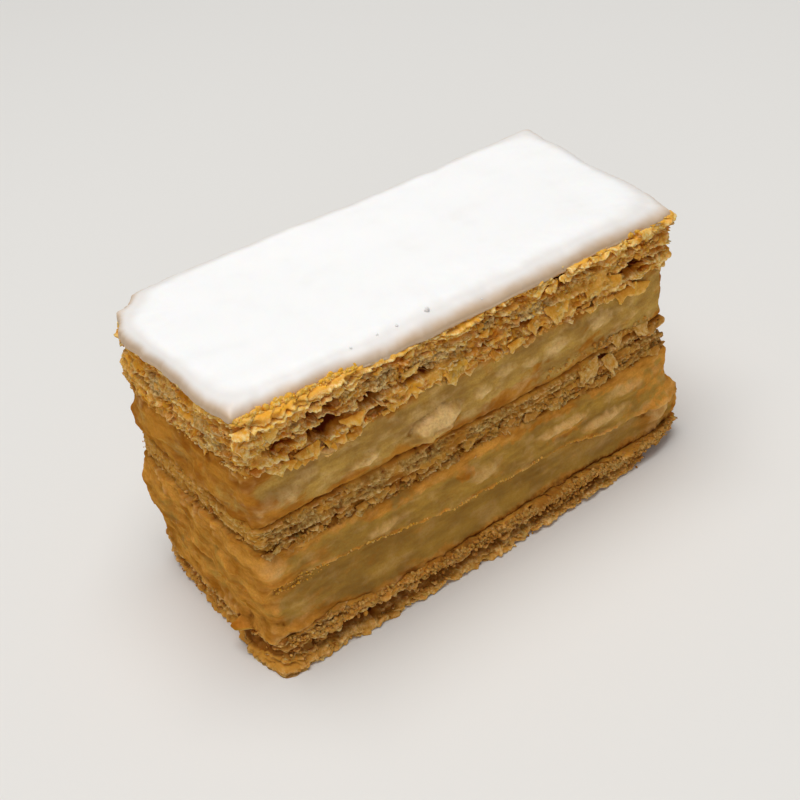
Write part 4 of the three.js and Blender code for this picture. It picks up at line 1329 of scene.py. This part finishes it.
def pouredFondant(name, tint):
    # Fondant, poured warm and set: nearly white and satin. Thin at its lower edge, where the pastry shows
    # through as beige. Where the rim slopes down it is greyed, which is painted shade, and the top has
    # faint grey mottles.
    look = fondantLook
    material, tree, shader = newMaterial(name, look["constants"])
    place = addNode(tree, "TexCoord", output="Object")
    rim = addNode(tree, "Attribute", output="Fac", attribute_name="rim")
    cloud, skin = [
        addNode(tree, "TexNoise", {"Vector": place, "Scale": perMm(size), "Detail": detail,
                                   "Roughness": rough})
        for size, detail, rough in look["noises"]]
    wander = addNode(tree, "Math", {0: cloud, 1: look["cloudShare"], 2: rim}, operation="MULTIPLY_ADD")
    body = linear(tint["white"])
    for (start, end, top), over in zip(look["steps"], (tint["mottleAndShade"], tint["thin"])):
        limits = {"Value": wander, "From Min": start, "From Max": end, "To Max": top}
        share = addNode(tree, "MapRange", limits, interpolation_type="SMOOTHSTEP")
        body = addNode(tree, "Mix", {"Factor": share, "A": body, "B": linear(over)}, data_type="RGBA")
    strength, high = look["bump"]
    bump = addNode(tree, "Bump", {"Height": skin, "Strength": strength, "Distance": high * metresPerMm})
    connect(tree, shader, {"Base Color": body, "Normal": bump})
    return material


# tip is a painted highlight; amber and deep are painted shade
goldenTint = {"golden": "#F4AF34", "brown": "#C0720A", "tip": "#FFE0A0", "crumb": "#E4C386",
              "crumbDark": "#A68042", "amberShade": "#B46408", "deep": "#6C2800"}
crumbTint = {"golden": "#D09434", "brown": "#A06216", "tip": "#E8C484", "crumb": "#C6A35E",
             "crumbDark": "#8E6428", "amberShade": "#9E5E18", "deep": "#6A2E02"}
darkTint = {"golden": "#D29438", "brown": "#905610", "tip": "#F2C680", "crumb": "#CCA468",
            "crumbDark": "#865E2A", "amberShade": "#985008", "deep": "#4C1E00"}
# dull is also the painted shade of the hollows, crease the painted shade of creases and seams, and smear
# partly painted highlight
paleCustardTint = {"body": "#D1A754", "dullAndShade": "#A88144", "stain": "#CE8C34", "butter": "#A0601A",
                   "smearAndHighlight": "#F8D18E", "creaseShade": "#6C3406"}
deepCustardTint = {"body": "#BF9543", "dullAndShade": "#987337", "stain": "#E2A046", "butter": "#A6681C",
                   "smearAndHighlight": "#F2C480", "creaseShade": "#643004"}
# grey: painted shade on the rim's slope, and faint mottles on the top
icingTint = {"white": "#FCFBF9", "mottleAndShade": "#ECE8E4", "thin": "#CEB08E"}

puffTop = bakedPuffPastry("baked puff pastry golden", goldenTint)
puffMiddle = bakedPuffPastry("baked puff pastry crumb", crumbTint)
puffBottom = bakedPuffPastry("baked puff pastry dark", darkTint)
custards = {"upper_custard": setCustard("set egg custard pale", paleCustardTint),
            "lower_custard": setCustard("set egg custard deep", deepCustardTint)}
fondant = pouredFondant("poured fondant", icingTint)


def finishPiece(piece, material, node):
    piece.data.materials.append(material)
    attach(piece, "root")
    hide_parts(node)


for sheet, material in ((topSheet, puffTop), (middleSheet, puffMiddle), (bottomSheet, puffBottom)):
    for piece in makePastry(sheet):
        finishPiece(piece, material, sheet["name"])
print("pastry done")

for layer in (lowerCustard, upperCustard):
    path = planPath(layer["columns"], custardForm["cornerRadius"])
    piece = makePiece(layer["name"] + "_cut", *custardWall(path, layer))
    finishPiece(piece, custards[layer["name"]], layer["name"])
finishPiece(makePiece("lower_custard_crumbs", *ledgeCrumbs(lowerCustard)), puffTop, "lower_custard")
print("custard done")

lid = icingShell(planPath(icingLid["columns"], icingLid["cornerRadius"]), icingLid)
finishPiece(makePiece("icing_lid", *lid), fondant, "icing")
finishPiece(makePiece("icing_grains", *icingGrains(icingLid, lid[0])), fondant, "icing")
print("icing done")


# floor, light and camera

studio = {
    "floorSize": 3.0, "floorColour": "#E6E4E0", "floorRoughness": 0.9,
    "skyColour": "#FFFFFF", "skyStrength": 0.22,
    # soft lights: place and side in metres, and power in watts
    "lights": {"overhead": ((-0.05, 0.05, 1.2), 0.85, 12.2), "front fill": ((-0.45, -0.7, 0.4), 0.5, 0.9)},
    "lightsAim": (0, 0, 0.03),
}


def makeFloor():
    half = studio["floorSize"] / 2
    mesh = bpy.data.meshes.new("floor")
    corners = [(-half, -half, 0), (half, -half, 0), (half, half, 0), (-half, half, 0)]
    mesh.from_pydata(corners, [], [(0, 1, 2, 3)])
    floor = bpy.data.objects.new("floor", mesh)
    bpy.context.scene.collection.objects.link(floor)
    constants = {"Base Color": linear(studio["floorColour"]), "Roughness": studio["floorRoughness"]}
    floor.data.materials.append(newMaterial("pale floor", constants)[0])


def makeLight(name, place, size, power):
    light = bpy.data.lights.new(name, "AREA")
    light.shape = "SQUARE"
    light.size = size
    light.energy = power
    lamp = bpy.data.objects.new(name, light)
    lamp.location = place
    lamp.rotation_mode = "QUATERNION"
    lamp.rotation_quaternion = (Vector(studio["lightsAim"]) - Vector(place)).to_track_quat("-Z", "Y")
    bpy.context.scene.collection.objects.link(lamp)


makeFloor()
for name, (place, size, power) in studio["lights"].items():
    makeLight(name, place, size, power)

world = bpy.data.worlds.new("studio")
world.use_nodes = True
background = world.node_tree.nodes["Background"]
background.inputs["Color"].default_value = linear(studio["skyColour"])
background.inputs["Strength"].default_value = studio["skyStrength"]
bpy.context.scene.world = world
bpy.context.scene.view_settings.view_transform = "Standard"

cameraView = {
    "azimuth": -31.11, "elevation": 36.80, "roll": -8.25,  # degrees; azimuth 0 looks along +Y
    "distance": 306.6, "target": (-3.9, 0.2, 27.4),        # mm
    "lens": 65.8, "sensor": 36,                            # mm
    "clipStart": 0.01,                                     # metres
}


def makeCamera():
    azimuth, elevation, roll = [math.radians(cameraView[key]) for key in ("azimuth", "elevation", "roll")]
    level = math.cos(elevation)
    back = Vector((math.sin(azimuth) * level, -math.cos(azimuth) * level, math.sin(elevation)))
    target = Vector(cameraView["target"]) * metresPerMm
    camera = bpy.data.cameras.new("camera")
    camera.lens = cameraView["lens"]
    camera.sensor_width = cameraView["sensor"]
    camera.clip_start = cameraView["clipStart"]
    holder = bpy.data.objects.new("camera", camera)
    turned = (-back).to_track_quat("-Z", "Y").to_matrix().to_4x4() @ Matrix.Rotation(roll, 4, "Z")
    holder.matrix_world = Matrix.Translation(target + back * cameraView["distance"] * metresPerMm) @ turned
    bpy.context.scene.collection.objects.link(holder)
    bpy.context.scene.camera = holder


makeCamera()

print("scene ready")
